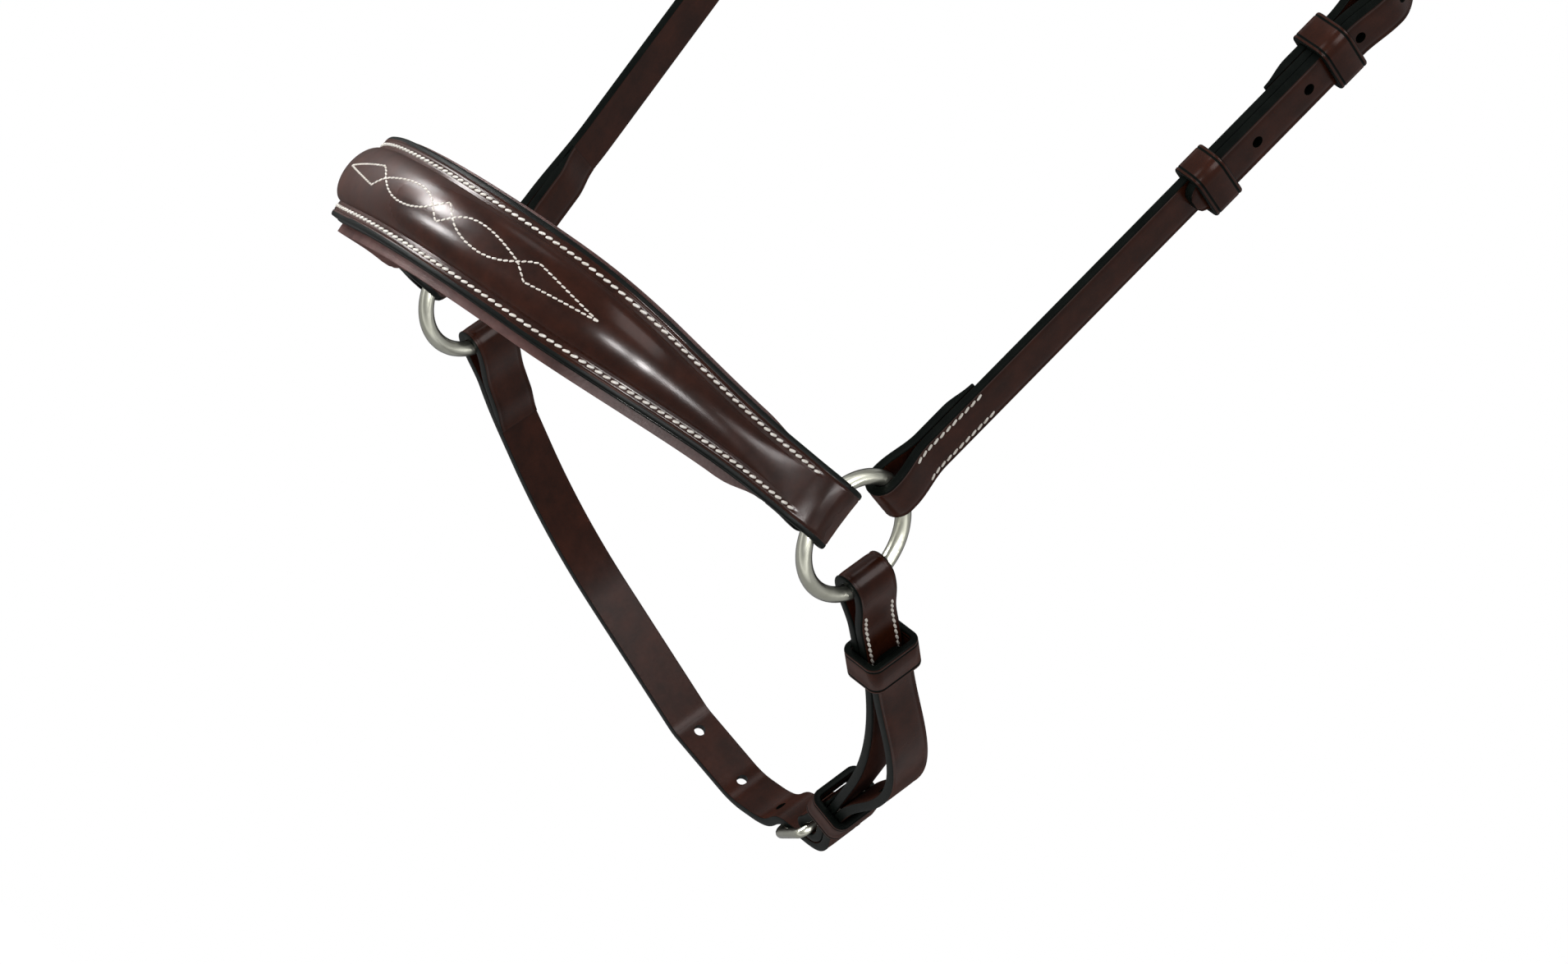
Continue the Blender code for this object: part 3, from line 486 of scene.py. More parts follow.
def steelMaterial(look):
    made, tree, shader = newMaterial("stainless_steel_polished")
    place = mappedCoord(tree, "Object")
    scuffs = noise(tree, place, look["scuffScale"], 3.0)
    # painted reflection: the steel's colour is lighter and darker in bands by how far the surface turns from
    # the eye, a painted bright line and painted dark rims
    bands = ramp(tree, turnedAway(tree), [(position, [value] * 3) for position, value in look["bands"]])
    tone = {"Factor": 1, 6: mottle(tree, place, look), 7: bands}
    shade = addNode(tree, "ShaderNodeMix", tone, data_type="RGBA", blend_type="MULTIPLY")
    plug(tree, shader, {
        "Base Color": shade.outputs[2],
        "Roughness": unevenGloss(tree, look, scuffs),
        "Specular IOR Level": 0.5,
        "Metallic": 1.0,
        "Normal": bumps(tree, [(scuffs, look["scuffDepth"])]),
    })
    return made


steel = steelMaterial({
    "dark": (0.40, 0.40, 0.325),
    "light": (0.54, 0.54, 0.47),
    # painted reflection: how much the polish reflects, painted as light and dark bands from where it faces
    # the eye to where it turns away
    "bands": ((0.0, 0.44), (0.12, 0.40), (0.22, 0.95), (0.30, 0.46), (0.52, 0.40), (0.74, 0.14), (1.0, 0.04)),
    "roughness": 0.30,
    "roughnessSpread": 0.04,
    "mottleScale": 60.0,
    "mottleSpread": (0.35, 0.7),
    "scuffScale": 500.0,
    "scuffDepth": 0.0000015,
})
print("materials made")


# leather is cut and shaped flat (x along it, y across it, z towards its grain side) and then bent

sheet = {
    "rowStep": 0.0009,  # how finely leather is divided along its length
    "bevelSteps": 3,
    "bevelAngle": radians(82),
    "sideTilt": 0.02,  # a face whose normal leans up less than this is a cut edge
    "holeSides": 32,
}


def leatherSheet(name, start, length, columns, under, shape, painted, edgeBevel, edge):
    deselectAll()
    rows = ceil(length / sheet["rowStep"])
    bpy.ops.mesh.primitive_grid_add(x_subdivisions=rows, y_subdivisions=len(columns) - 1, size=2)
    piece = bpy.context.object
    piece.name = name
    for vert in piece.data.vertices:
        reach = start + (vert.co.x + 1) / 2 * length
        column = columns[round((vert.co.y + 1) / 2 * (len(columns) - 1))]
        vert.co = (reach, *shape(reach, column))
    bpy.ops.object.mode_set(mode="EDIT")
    bpy.ops.mesh.select_all(action="SELECT")
    bpy.ops.mesh.extrude_region_move(TRANSFORM_OT_translate={"value": (0, 0, -0.001)})
    bpy.ops.object.mode_set(mode="OBJECT")
    for vert in piece.data.vertices:
        if vert.select:  # the flesh side stays flat under the shape of the grain side
            vert.co.z = under
    faceOutwards(piece)
    for paint in (havana, edge):
        piece.data.materials.append(paint)
    for facet in piece.data.polygons:
        side = abs(facet.normal.z) < sheet["sideTilt"]
        facet.material_index = 1 if side or painted(facet.center.x, facet.center.y) else 0
    rounding = piece.modifiers.new("rounding", "BEVEL")
    rounding.width = edgeBevel
    rounding.segments = sheet["bevelSteps"]
    rounding.limit_method = "ANGLE"
    rounding.angle_limit = sheet["bevelAngle"]
    rounding.material = 1
    applyModifiers(piece)
    layPattern(piece, lambda place: (place.x, place.y))
    return piece


def punch(piece, thickness, holes):  # holes are (reach, length, width)
    cutters = []
    for reach, length, width in holes:
        deselectAll()
        sides = sheet["holeSides"]
        bpy.ops.mesh.primitive_cylinder_add(vertices=sides, radius=width / 2, depth=3 * thickness)
        cutter = bpy.context.object
        stretch = (length - width) / 2
        for vert in cutter.data.vertices:
            vert.co.x += reach + (stretch if vert.co.x > 0 else -stretch)
        cutter.data.materials.append(waxedEdge)
        cutters.append(cutter)
    tool = joinInto("punches", cutters)
    cut = piece.modifiers.new("punch", "BOOLEAN")
    cut.operation = "DIFFERENCE"
    cut.solver = "EXACT"
    cut.object = tool
    applyModifiers(piece)
    bpy.data.objects.remove(tool, do_unlink=True)


def bend(piece, line, plane):
    carrier = drawCurve("bendLine", line.points, False, True)
    carrier.matrix_world = plane
    pickOnly(piece)
    piece.rotation_euler = (pi / 2, 0, 0)
    bpy.ops.object.transform_apply(location=False, rotation=True, scale=False)
    piece.matrix_world = plane
    bending = piece.modifiers.new("bend", "CURVE")
    bending.object = carrier
    bending.deform_axis = "POS_X"
    bpy.ops.object.modifier_apply(modifier="bend")
    bpy.ops.object.transform_apply(location=True, rotation=True, scale=False)
    bpy.data.objects.remove(carrier, do_unlink=True)


def dress(piece, body, nodes):
    smoothBy(piece)
    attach(piece, body)
    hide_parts(*nodes)


# stitches: one is modelled, then copied along each row while the leather is flat

stitchForm = {
    "around": 8,
    "along": 6,
    "tip": 0.49,  # the share of its length where a stitch comes to a point
    "squareness": 3,
    "fullness": 0.35,
}


def modelStitch(name, size, slant, finish):  # size is (length, width, height)
    deselectAll()
    around, along = stitchForm["around"], stitchForm["along"]
    bpy.ops.mesh.primitive_uv_sphere_add(segments=around, ring_count=along, radius=0.5)
    stitch = bpy.context.object
    stitch.name = name
    bpy.ops.transform.rotate(value=pi / 2, orient_axis="Y", center_override=(0, 0, 0))
    bpy.ops.object.transform_apply(rotation=True)
    for vert in stitch.data.vertices:
        x, y, z = vert.co
        full = 0.0
        if abs(x) < stitchForm["tip"]:
            full = (1 - (2 * abs(x)) ** stitchForm["squareness"]) ** stitchForm["fullness"]
        radius = hypot(y, z)
        share = 0.5 * full / radius if radius > 0.001 else 1.0
        vert.co.y *= share
        vert.co.z *= share
        vert.co = (vert.co.x * size[0], vert.co.y * size[1], vert.co.z * size[2])
    stitch.rotation_euler = (0, 0, slant)
    bpy.ops.object.transform_apply(rotation=True)
    stitch.data.materials.append(finish)
    bpy.ops.object.shade_smooth()
    return stitch


def setRow(stitch, name, places, line, plane, body):  # places are (x, y, z, turn) on the flat leather
    copies = []
    for x, y, z, turn in places:
        copy = stitch.copy()
        copy.data = stitch.data.copy()
        copy.matrix_world = Matrix.Translation((x, y, z)) @ Matrix.Rotation(turn, 4, "Z")
        bpy.context.scene.collection.objects.link(copy)
        copies.append(copy)
    row = joinInto(name, copies)
    bpy.ops.object.transform_apply(location=True, rotation=True, scale=True)
    bend(row, line, plane)
    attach(row, body)


def evenSteps(points, pitch):  # places a pitch apart along a broken line, with its direction
    line = GuideLine(points)
    count = max(1, round(line.length / pitch))
    found = []
    for step in range(count):
        reach = (step + 0.5) * line.length / count
        x, y = line.place(reach)
        ahead = line.place(reach + pitch / 4) - line.place(reach - pitch / 4)
        found.append((x, y, float(np.arctan2(ahead[1], ahead[0]))))
    return found


# nosepiece leather: crowned over its felt, and folded round both rings

face = {
    "thickness": 0.0022,
    "level": 0.0031,
    "middleWidth": 0.0278,
    "ringWidth": 0.0178,
    "taperStart": 0.036,
    "taperEnd": 0.118,
    "turnBack": 0.015,
    "ringRoom": 0.0009,
    "ease": 0.012,
    "crownHeight": 0.0042,
    "crownMargin": 0.0045,
    "crownEnd": 0.126,
    "crownFade": 0.062,
    "crownEndFullness": 0.75,
    "crownFullness": 0.56,
    "crownColumns": 24,
    "stitchInset": 0.0030,  # from the edge to the stitches
    "stitchSink": 0.00025,
    "stitchSinkHalf": 0.0006,
    "creaseInset": 0.0017,  # from the edge to the crease outside the stitches
    "creaseSink": 0.00016,
    "creaseHalf": 0.0003,
    "edgeRound": 0.0013,  # the painted border, rounded off over this width
    "edgeDrop": 0.00060,
    "flange": (
        0.0003, 0.0006, 0.0009, 0.0012, 0.0015, 0.0018, 0.0021, 0.0025, 0.0028, 0.00295,
        0.0031, 0.0033, 0.0035, 0.0037, 0.0039, 0.0041, 0.0043, 0.0045,
    ),
    "edgeBevel": 0.0004,
    "stitchPitch": 0.00243,
    "stitchEnd": 0.1300,
    "foldRound": 0.0022,  # how much narrower the fold round a ring is, at its middle
    "foldHalf": 0.0042,
    "dip": 0.0015,  # the hollow beside a fold, where the two layers close up
    "dipReach": 0.0098,
    "dipHalf": 0.0056,
    "ridge": 0.0006,  # the padding's end swells the leather before that hollow
    "ridgeReach": 0.0195,
    "ridgeHalf": 0.0050,
    "hollowShare": 0.55,  # how much shallower the hollow is at the leather's edges
    "wrinkle": 0.00007,
    "wrinkleWaves": ((2900, 2.2), (4, 1), (5.3, 0.7)),
    "stitchSit": 0.00012,  # how deep a stitch sits in the leather
    "fancySit": 0.00002,
}


def ringSeat(width):  # a flat fold lies this far inside the line of a ring's wire
    return rings["radius"] - sqrt(rings["radius"] ** 2 - (width / 2) ** 2)


def faceLine():
    ringFold = rings["wire"] / 2 + face["ringRoom"] + face["thickness"] / 2
    inner = face["level"] - face["thickness"] - fit["gap"]
    seat = -ringSeat(face["ringWidth"])
    points = []
    for reach in spread(face["turnBack"], seat):
        points.append((reach, (inner + ringFold) * eased(reach / face["ease"]) - ringFold))
    points += [(reach, -offset) for reach, offset in fold(seat, ringFold, -1)]
    for reach in spread(seat, noseLine.length / 2):
        points.append((reach, ringFold + (face["level"] - ringFold) * eased(reach / face["ease"])))
    far = [(noseLine.length - reach, offset) for reach, offset in reversed(points[:-1])]
    return follow(noseLine, points + far)


facePath = faceLine()
faceMiddle = facePath.length / 2
# from the middle to a fold
faceFold = faceMiddle - face["turnBack"] - pi * (rings["wire"] + face["thickness"]) / 4


def faceHalf(fromMiddle):
    share = (fromMiddle - face["taperStart"]) / (face["taperEnd"] - face["taperStart"])
    return (face["middleWidth"] + (face["ringWidth"] - face["middleWidth"]) * eased(share)) / 2


def crownRise(fromMiddle, share):  # share is 0 on the middle line and 1 at the crown's foot
    if abs(share) >= 1:
        return 0.0
    fade = eased((face["crownEnd"] - fromMiddle) / face["crownFade"]) ** face["crownEndFullness"]
    return face["crownHeight"] * fade * (1 - share * share) ** face["crownFullness"]


def faceSurface(reach, across):  # height of the grain side at a flat place
    fromMiddle = abs(reach - faceMiddle)
    foot = faceHalf(fromMiddle) - face["crownMargin"]
    return face["thickness"] / 2 + crownRise(fromMiddle, across / foot)


def foldDip(fromMiddle, share):  # the hollow and small wrinkles that the ring's fold draws in the leather
    fromFold = faceFold - fromMiddle
    nearness = nearTo(fromFold, face["dipReach"], face["dipHalf"])
    swell = nearTo(fromFold, face["ridgeReach"], face["ridgeHalf"])
    (fine, sway), (wave, start), (slow, late) = face["wrinkleWaves"]
    fading = cos(share * slow + late)
    wrinkle = face["wrinkle"] * sin(fromFold * fine + sway * sin(share * wave + start)) * fading
    hollow = face["dip"] * (1 - face["hollowShare"] * share * share)
    return nearness * (hollow + wrinkle) - swell * face["ridge"] * (1 - share * share)


def faceNarrowing(fromMiddle):
    return face["foldRound"] * nearTo(fromMiddle, faceFold, face["foldHalf"])


def faceShape(reach, column):
    kind, amount = column
    fromMiddle = abs(reach - faceMiddle)
    half = faceHalf(fromMiddle)
    narrow = 1 - faceNarrowing(fromMiddle) / half
    foot = half - face["crownMargin"]
    top = face["thickness"] / 2
    if kind == "crown":
        share = amount * foot / half
        return amount * foot * narrow, top + crownRise(fromMiddle, amount) - foldDip(fromMiddle, share)
    across = foot + abs(amount)
    inset = face["crownMargin"] - abs(amount)
    sink = 0.0
    if fromMiddle < face["stitchEnd"]:
        sink = face["stitchSink"] * nearTo(inset, face["stitchInset"], face["stitchSinkHalf"])
    sink += face["creaseSink"] * nearTo(inset, face["creaseInset"], face["creaseHalf"])
    if inset < face["edgeRound"]:
        short = 1 - inset / face["edgeRound"]
        sink += face["edgeDrop"] * (1 - sqrt(1 - short * short))
    across *= narrow
    return (across if amount > 0 else -across), top - sink - foldDip(fromMiddle, across / half)


def buildFace():
    turns = [pi * step / face["crownColumns"] - pi / 2 for step in range(face["crownColumns"] + 1)]
    columns = [("flange", -out) for out in reversed(face["flange"])]
    columns += [("crown", sin(turn)) for turn in turns]
    columns += [("flange", out) for out in face["flange"]]

    def painted(reach, across):
        return abs(across) > faceHalf(abs(reach - faceMiddle)) - face["edgeRound"]

    piece = leatherSheet(
        "nosepiece_leather", 0, facePath.length, columns, -face["thickness"] / 2, faceShape, painted,
        face["edgeBevel"], edgePaint,
    )
    bend(piece, facePath, nosePlane)
    dress(piece, "nosepiece", ["nosepiece_face", "nosepiece_core"])


buildFace()

# the backing closes the crown's underside, flush with the leather's edges
backing = {"thickness": 0.0014, "endGap": 0.0006, "edgeBevel": 0.0003, "halfColumns": 8}
faceUnder = face["level"] - face["thickness"] / 2 - fit["gap"]


def buildBacking():
    start = face["turnBack"] + backing["endGap"]
    count = backing["halfColumns"]
    columns = [step / count for step in range(-count, count + 1)]

    def shape(reach, share):
        return share * faceHalf(abs(reach - noseLine.length / 2)), faceUnder

    piece = leatherSheet(
        "nosepiece_backing_leather", start, noseLine.length - 2 * start, columns,
        faceUnder - backing["thickness"], shape, lambda reach, across: False, backing["edgeBevel"], edgePaint,
    )
    bend(piece, noseLine, nosePlane)
    dress(piece, "nosepiece", ["nosepiece_backing"])


buildBacking()
print("nosepiece leather done")

edgeStitch = modelStitch("edge_stitch", (0.00215, 0.00088, 0.00075), radians(16), thread)
fancyStitch = modelStitch("fancy_stitch", (0.00138, 0.00058, 0.00052), radians(10), fineThread)

# the traditional fancy stitching on the crown, in millimetres from its middle: along and up
fancy = {
    "middle": (3.5, 0.8),
    "pitch": 1.62,
    "over": (
        (0, 3.2), (4, 0), (6, -1.4), (8, -2.3), (11, -3.2), (14, -3.6), (17, -3.65), (20, -3.2),
        (23, -2.2), (25, -1.2), (27, 0), (29.5, 1.7), (32, 2.9), (52.5, -0.6),
    ),
    "under": (
        (0, -3.2), (4, 0), (6, 1.5), (8, 2.4), (11, 3.0), (14, 3.0), (17, 2.7), (20, 2.1),
        (23, 1.3), (25, 0.7), (27, 0), (29, -1.4), (31.5, -3.4), (52.5, -0.6),
    ),
}


def sewNosepiece():
    rows = []
    count = int(face["stitchEnd"] / face["stitchPitch"])
    peek = 0.001  # how far on along the row its direction is taken
    for side in (-1, 1):
        for step in range(-count, count + 1):
            x = faceMiddle + step * face["stitchPitch"]
            inset = face["stitchInset"]
            y = side * (faceHalf(abs(x - faceMiddle)) - inset)
            ahead = side * (faceHalf(abs(x + peek - faceMiddle)) - inset)
            turn = float(np.arctan2(ahead - y, peek))
            rows.append((x, y, face["thickness"] / 2 - face["stitchSit"], turn))
    setRow(edgeStitch, "nosepiece_edge_stitching", rows, facePath, nosePlane, "nosepiece")
    places = []
    for run in (fancy["over"], fancy["under"]):
        for side in (-1, 1):
            points = []
            for along, rise in run:
                x = faceMiddle - (fancy["middle"][0] + side * along) / 1000
                points.append((x, -(fancy["middle"][1] + rise) / 1000))
            for x, y, turn in evenSteps(points, fancy["pitch"] / 1000):
                places.append((x, y, faceSurface(x, y) - face["fancySit"], turn))
    setRow(fancyStitch, "nosepiece_fancy_stitching", places, facePath, nosePlane, "nosepiece")


sewNosepiece()
print("nosepiece stitched")

# soft lining over the padding, behind the nosepiece leather

lining = {
    "overhangUp": 0.0011,
    "overhangDown": 0.0024,
    "endGap": 0.0015,
    "depth": 0.0062,
    "endSlope": 0.014,
    "endDepthShare": 0.45,
    "fullness": 0.6,
    "around": 56,
    "rowStep": 0.0010,
    "backShare": 0.04,  # the share of its depth that the side on the backing takes up
    "wrinkle": 0.00010,
    "wrinkleWaves": (2300, 2.5, 390, 2.6, 610),
    "seamSink": 0.00035,
    "seamShare": 0.42,  # the seam's place in the pad's depth, and its half width
    "seamHalfShare": 0.10,
}


def buildLining():
    start = face["turnBack"] + lining["endGap"]
    length = noseLine.length - 2 * start
    top = faceUnder - backing["thickness"] - fit["gap"]
    back = lining["backShare"]
    fine, sway, slow, turned, long = lining["wrinkleWaves"]
    deselectAll()
    bpy.ops.mesh.primitive_cylinder_add(vertices=lining["around"], radius=1, depth=2, end_fill_type="TRIFAN")
    piece = bpy.context.object
    piece.name = "nosepiece_lining_pad"
    piece.rotation_euler = (0, pi / 2, 0)
    bpy.ops.object.transform_apply(rotation=True)
    pickEdges(piece, lambda edge: abs(edge.verts[0].co.x - edge.verts[1].co.x) > 1)
    bpy.ops.mesh.subdivide(number_cuts=ceil(length / lining["rowStep"]))
    bpy.ops.object.mode_set(mode="OBJECT")
    for vert in piece.data.vertices:
        reach = start + (vert.co.x + 1) / 2 * length
        fromMiddle = abs(reach - noseLine.length / 2)
        endShare = eased((noseLine.length / 2 - start - fromMiddle) / lining["endSlope"])
        overhang = lining["overhangUp"] if vert.co.y < 0 else lining["overhangDown"]
        half = faceHalf(fromMiddle) + overhang * endShare
        depth = lining["depth"] * (lining["endDepthShare"] + (1 - lining["endDepthShare"]) * endShare)
        if hypot(vert.co.y, vert.co.z) < 0.5:  # the middle of an end
            vert.co = (reach, 0, top - depth / 2)
            continue
        across = half * abs(vert.co.y) ** lining["fullness"] * (1 if vert.co.y > 0 else -1)
        deep = depth * abs(vert.co.z) ** lining["fullness"]
        if vert.co.z > 0:  # the side that lies on the backing is nearly flat
            vert.co = (reach, across, top - back * depth * (1 - abs(vert.co.z)))
            continue
        ripple = sin(reach * fine + sway * sin(reach * slow)) * sin(vert.co.y * turned + reach * long)
        seam = 0.0
        if abs(vert.co.y) > 0.5:
            seam = lining["seamSink"] * nearTo(deep / depth, lining["seamShare"], lining["seamHalfShare"])
        across -= seam * (1 if across > 0 else -1)
        vert.co = (reach, across, top - back * depth - (1 - back) * deep - lining["wrinkle"] * ripple)
    faceOutwards(piece)
    piece.data.materials.append(liningSkin)
    layPattern(piece, lambda place: (place.x, place.y + place.z))
    bend(piece, noseLine, nosePlane)
    dress(piece, "nosepiece", ["nosepiece_lining", "nosepiece_padding"])


buildLining()
print("lining done")

# steel rings

def buildRing(name, side):
    deselectAll()
    bpy.ops.mesh.primitive_torus_add(
        major_segments=rings["around"],
        minor_segments=rings["section"],
        major_radius=rings["radius"],
        minor_radius=rings["wire"] / 2,
        rotation=(0, pi / 2, 0),
        location=ringAxis + Vector((side * rings["side"], 0, 0)),
    )
    piece = bpy.context.object
    piece.name = name + "_steel"
    bpy.ops.object.transform_apply(location=True, rotation=True, scale=True)
    piece.data.materials.append(steel)
    dress(piece, name, [name])


buildRing("near_ring", 1)
buildRing("off_ring", -1)
print("rings done")

# straps

strap = {
    "tipLength": 0.009,
    "tipShare": 0.35,
    "edgeBevel": 0.00045,
    "creaseInset": 0.0011,
    "creaseHalf": 0.0003,
    "creaseDepth": 0.00014,
    "columns": (0.35, 0.0014, 0.0005),  # a share of the half width, then in from the crease and the edge
    "stitchInset": 0.0018,
    "stitchSit": 0.0001,  # how deep a stitch sits in the leather
    "holeDiameter": 0.0034,
    "holePitch": 0.020,
    "holesEachWay": 3,
    "usedHoleLength": 0.009,
    "usedHoleShift": 0.0015,
    "skive": 0.010,  # the turned-back ends are pared thin over this length
    "skivedThickness": 0.0011,
}
buckle = {
    "wire": 0.0030,
    "length": 0.017,
    "sideRoom": 0.0006,
    "corner": 0.0032,
    "cornerSteps": 8,
    "wireRounding": 5,
    "tongueWire": 0.0020,
    "tongueRestGap": 0.0003,
    "tongueTipPast": 0.0022,
    "tongueCurl": radians(285),
    "curlSteps": 36,
    "slotMargin": 0.0005,
    "slotBehindBar": 0.0050,
}
layer = fit["strapThickness"] + fit["gap"]
barFold = buckle["wire"] / 2 + fit["gap"] + fit["strapThickness"] / 2
layerSide = layer / 2
tailSide = layerSide + layer
overHeel = barFold + layer


def towards(foldSide, reach):
    return foldSide + (layerSide - foldSide) * eased(reach / fit["loopEase"])


def buckledLine(guide, cut):  # folded round its ring, and round the buckle's bar
    seat = -ringSeat(cut["width"])
    points = [(reach, -towards(rings["fold"], reach)) for reach in spread(cut["turnBack"], seat)]
    points += [(reach, -offset) for reach, offset in fold(seat, rings["fold"], -1)]
    for reach in spread(seat, cut["buckle"]):
        nearRing = towards(rings["fold"], reach)
        points.append((reach, max(nearRing, towards(barFold, cut["buckle"] - reach))))
    points += fold(cut["buckle"], barFold, 1)
    points += [(cut["buckle"] - back, -towards(barFold, back)) for back in spread(0.0, cut["chape"])]
    return follow(guide, points)


def throughBuckle(back, closing):
    if back >= 0:
        return tailSide + (overHeel - tailSide) * eased(1 - back / fit["loopEase"])
    if -back <= buckle["length"]:
        return overHeel - (overHeel + barFold) * eased(-back / buckle["length"])
    return -barFold * (1 - eased((-back - buckle["length"]) / closing))


def ringLoop(guide, turnBack, width):
    end, seat = guide.length, -ringSeat(width)
    points = [(end - back, towards(rings["fold"], back)) for back in spread(fit["loopEase"], seat)]
    points += fold(end - seat, rings["fold"], 1)
    points += [(end - back, -towards(rings["fold"], back)) for back in spread(seat, turnBack)]
    return points


def billetLine(guide, cut, closing, bulge):  # from its tip through the buckle to the off ring
    points = []
    for reach in spread(cut["tail"], cut["buckle"] + buckle["length"] + closing):
        points.append((reach, throughBuckle(cut["buckle"] - reach, closing) + bulge(reach)))
    approach = guide.length - 3 * fit["loopEase"]
    points += [(reach, 0.0) for reach in spread(points[-1][0], approach)[1:]]
    for reach in spread(approach, guide.length - fit["loopEase"])[1:-1]:
        points.append((reach, layerSide * eased((reach - approach) / (2 * fit["loopEase"]))))
    points += ringLoop(guide, cut["turnBack"], cut["width"])
    return follow(guide, points)


def chinBulge(reach):
    first = chin["runner"] + fit["keeperWidth"] / 2
    last = chin["fixedKeeper"] - fit["keeperWidth"] / 2
    share = (reach - first) / (last - first)
    return chin["tailBulge"] * sin(pi * share) ** 2 if 0 < share < 1 else 0.0


fixedBack = fit["loopEase"] + fit["keeperWidth"] / 2 + fit["fixedKeeperMargin"]
head["fixedKeeper"] = head["buckle"] - fixedBack
chin["fixedKeeper"] = chin["buckle"] - fixedBack


def billetHoles(line, guide, cut):
    level = buckle["wire"] / 2 + fit["gap"] + buckle["tongueWire"] / 2
    places = spread(0.0, buckle["length"])
    crossing = min(places, key=lambda past: abs(throughBuckle(-past, head["settle"]) - level))
    used = line.nearest(guide.place(cut["buckle"] + crossing, -level))
    wide = strap["holeDiameter"]
    holes = [(used - strap["usedHoleShift"], strap["usedHoleLength"], wide)]
    for step in range(-strap["holesEachWay"], strap["holesEachWay"] + 1):
        reach = used + step * strap["holePitch"]
        if step and reach > strap["tipLength"] + wide:
            holes.append((reach, wide, wide))
    return holes


def strapColumns(width):
    half = width / 2
    crease = half - strap["creaseInset"]
    share, beforeCrease, beforeEdge = strap["columns"]
    spots = [0.0, half * share, crease - beforeCrease, crease - strap["creaseHalf"], crease]
    spots += [crease + strap["creaseHalf"], half - beforeEdge, half]
    return [-spot for spot in reversed(spots[1:])] + spots


def buildStrap(name, node, line, plane, body, width, holes, pointed):
    half = width / 2
    paring = fit["strapThickness"] - strap["skivedThickness"]

    def shape(reach, across):
        share = 1.0
        if pointed:
            short = 1 - min(reach, strap["tipLength"]) / strap["tipLength"]
            share = 1 - (1 - strap["tipShare"]) * (1 - sqrt(max(0.0, 1 - short * short)))
        fromEdge = half - abs(across)
        crease = strap["creaseDepth"] * nearTo(fromEdge, strap["creaseInset"], 2 * strap["creaseHalf"])
        fromEnd = line.length - reach if pointed else min(reach, line.length - reach)
        pared = paring * eased(1 - fromEnd / strap["skive"])
        return across * share, fit["strapThickness"] / 2 - crease - pared

    piece = leatherSheet(
        name, 0, line.length, strapColumns(width), -fit["strapThickness"] / 2, shape,
        lambda reach, across: False, strap["edgeBevel"], waxedEdge,
    )
    punch(piece, fit["strapThickness"], holes)
    bend(piece, line, plane)
    dress(piece, body, [node])


def slotOf(line, chape):
    middle = line.length - chape - pi * barFold / 2
    length = pi * barFold + 2 * buckle["slotBehindBar"]
    return [(middle, length, buckle["tongueWire"] + 2 * buckle["slotMargin"])]


def loopRows(line, guide, cut, spans):  # two rows of stitches over each span
    rows = []
    for near, far in spans:
        start, end = (line.nearest(guide.place(reach, -layerSide)) for reach in (near, far))
        for side in (-1, 1):
            y = side * (cut["width"] / 2 - strap["stitchInset"])
            z = fit["strapThickness"] / 2 - strap["stitchSit"]
            count = int((end - start) / cut["stitchPitch"])
            rows += [(start + step * cut["stitchPitch"], y, z, 0.0) for step in range(count + 1)]
    return rows


def buildStraps():
    closing = chinLine.length / 2 - chin["buckle"] - buckle["length"]
    for near, off, node, (guide, plane, cut), body, settle, bulge in (
        ("near_cheek", "head_strap", "head_strap", headRoute, "head", head["settle"], lambda reach: 0.0),
        ("near_chin", "off_chin", "off_chin_strap", chinRoute, "chin", closing, chinBulge),
    ):
        line = buckledLine(guide, cut)
        holes = slotOf(line, cut["chape"])
        buildStrap(near + "_leather", near + "_strap", line, plane, body, cut["width"], holes, False)
        rows = loopRows(line, guide, cut, cut["nearRows"])
        setRow(edgeStitch, near + "_stitching", rows, line, plane, body)
        line = billetLine(guide, cut, settle, bulge)
        holes = billetHoles(line, guide, cut)
        buildStrap(off + "_leather", node, line, plane, body, cut["width"], holes, True)
        rows = loopRows(line, guide, cut, [[guide.length - back for back in cut["offRow"]]])
        setRow(edgeStitch, off + "_stitching", rows, line, plane, body)


buildStraps()
print("straps done")

# keepers, buckles and tongues are drawn as curves

def meshOf(drawn):
    pickOnly(drawn)
    bpy.ops.object.convert(target="MESH")
    faceOutwards(bpy.context.object, fit["weld"])
    return bpy.context.object


def roundedBox(halfX, halfY, corner, steps):
    points = []
    for centreX, centreY, first in (
        (halfX - corner, halfY - corner, 0.0),
        (corner - halfX, halfY - corner, pi / 2),
        (corner - halfX, corner - halfY, pi),
        (halfX - corner, corner - halfY, 3 * pi / 2),
    ):
        for step in range(steps + 1):
            turn = first + pi / 2 * step / steps
            points.append((centreX + corner * cos(turn), centreY + corner * sin(turn)))
    return points


keepers = {
    "corner": 0.0023,
    "cornerSteps": 10,
    "rimSteps": 3,
    "rimTilt": 0.35,  # a face whose normal leans along the strap more than this is a rim
    "rimRound": 0.0006,
    "creaseInset": 0.0013,
    "creaseHalf": 0.00035,
    "creaseDepth": 0.00016,
}


def keeperProfile(halfThick, halfWidth):  # a section through the band, with a crease near each rim
    outline = roundedBox(halfThick, halfWidth, keepers["rimRound"], keepers["rimSteps"])
    halfway = 2 * (keepers["rimSteps"] + 1)

    def creased(side, heights):
        found = []
        for height in heights:
            for shift, depth in ((1, 0.0), (0, keepers["creaseDepth"]), (-1, 0.0)):
                spot = height - side * shift * keepers["creaseHalf"]
                found.append((side * (halfThick - depth), spot))
        return found

    crease = halfWidth - keepers["creaseInset"]
    down = creased(-1, (crease, -crease))
    up = creased(1, (-crease, crease))
    return outline[:halfway] + down + outline[halfway:] + up


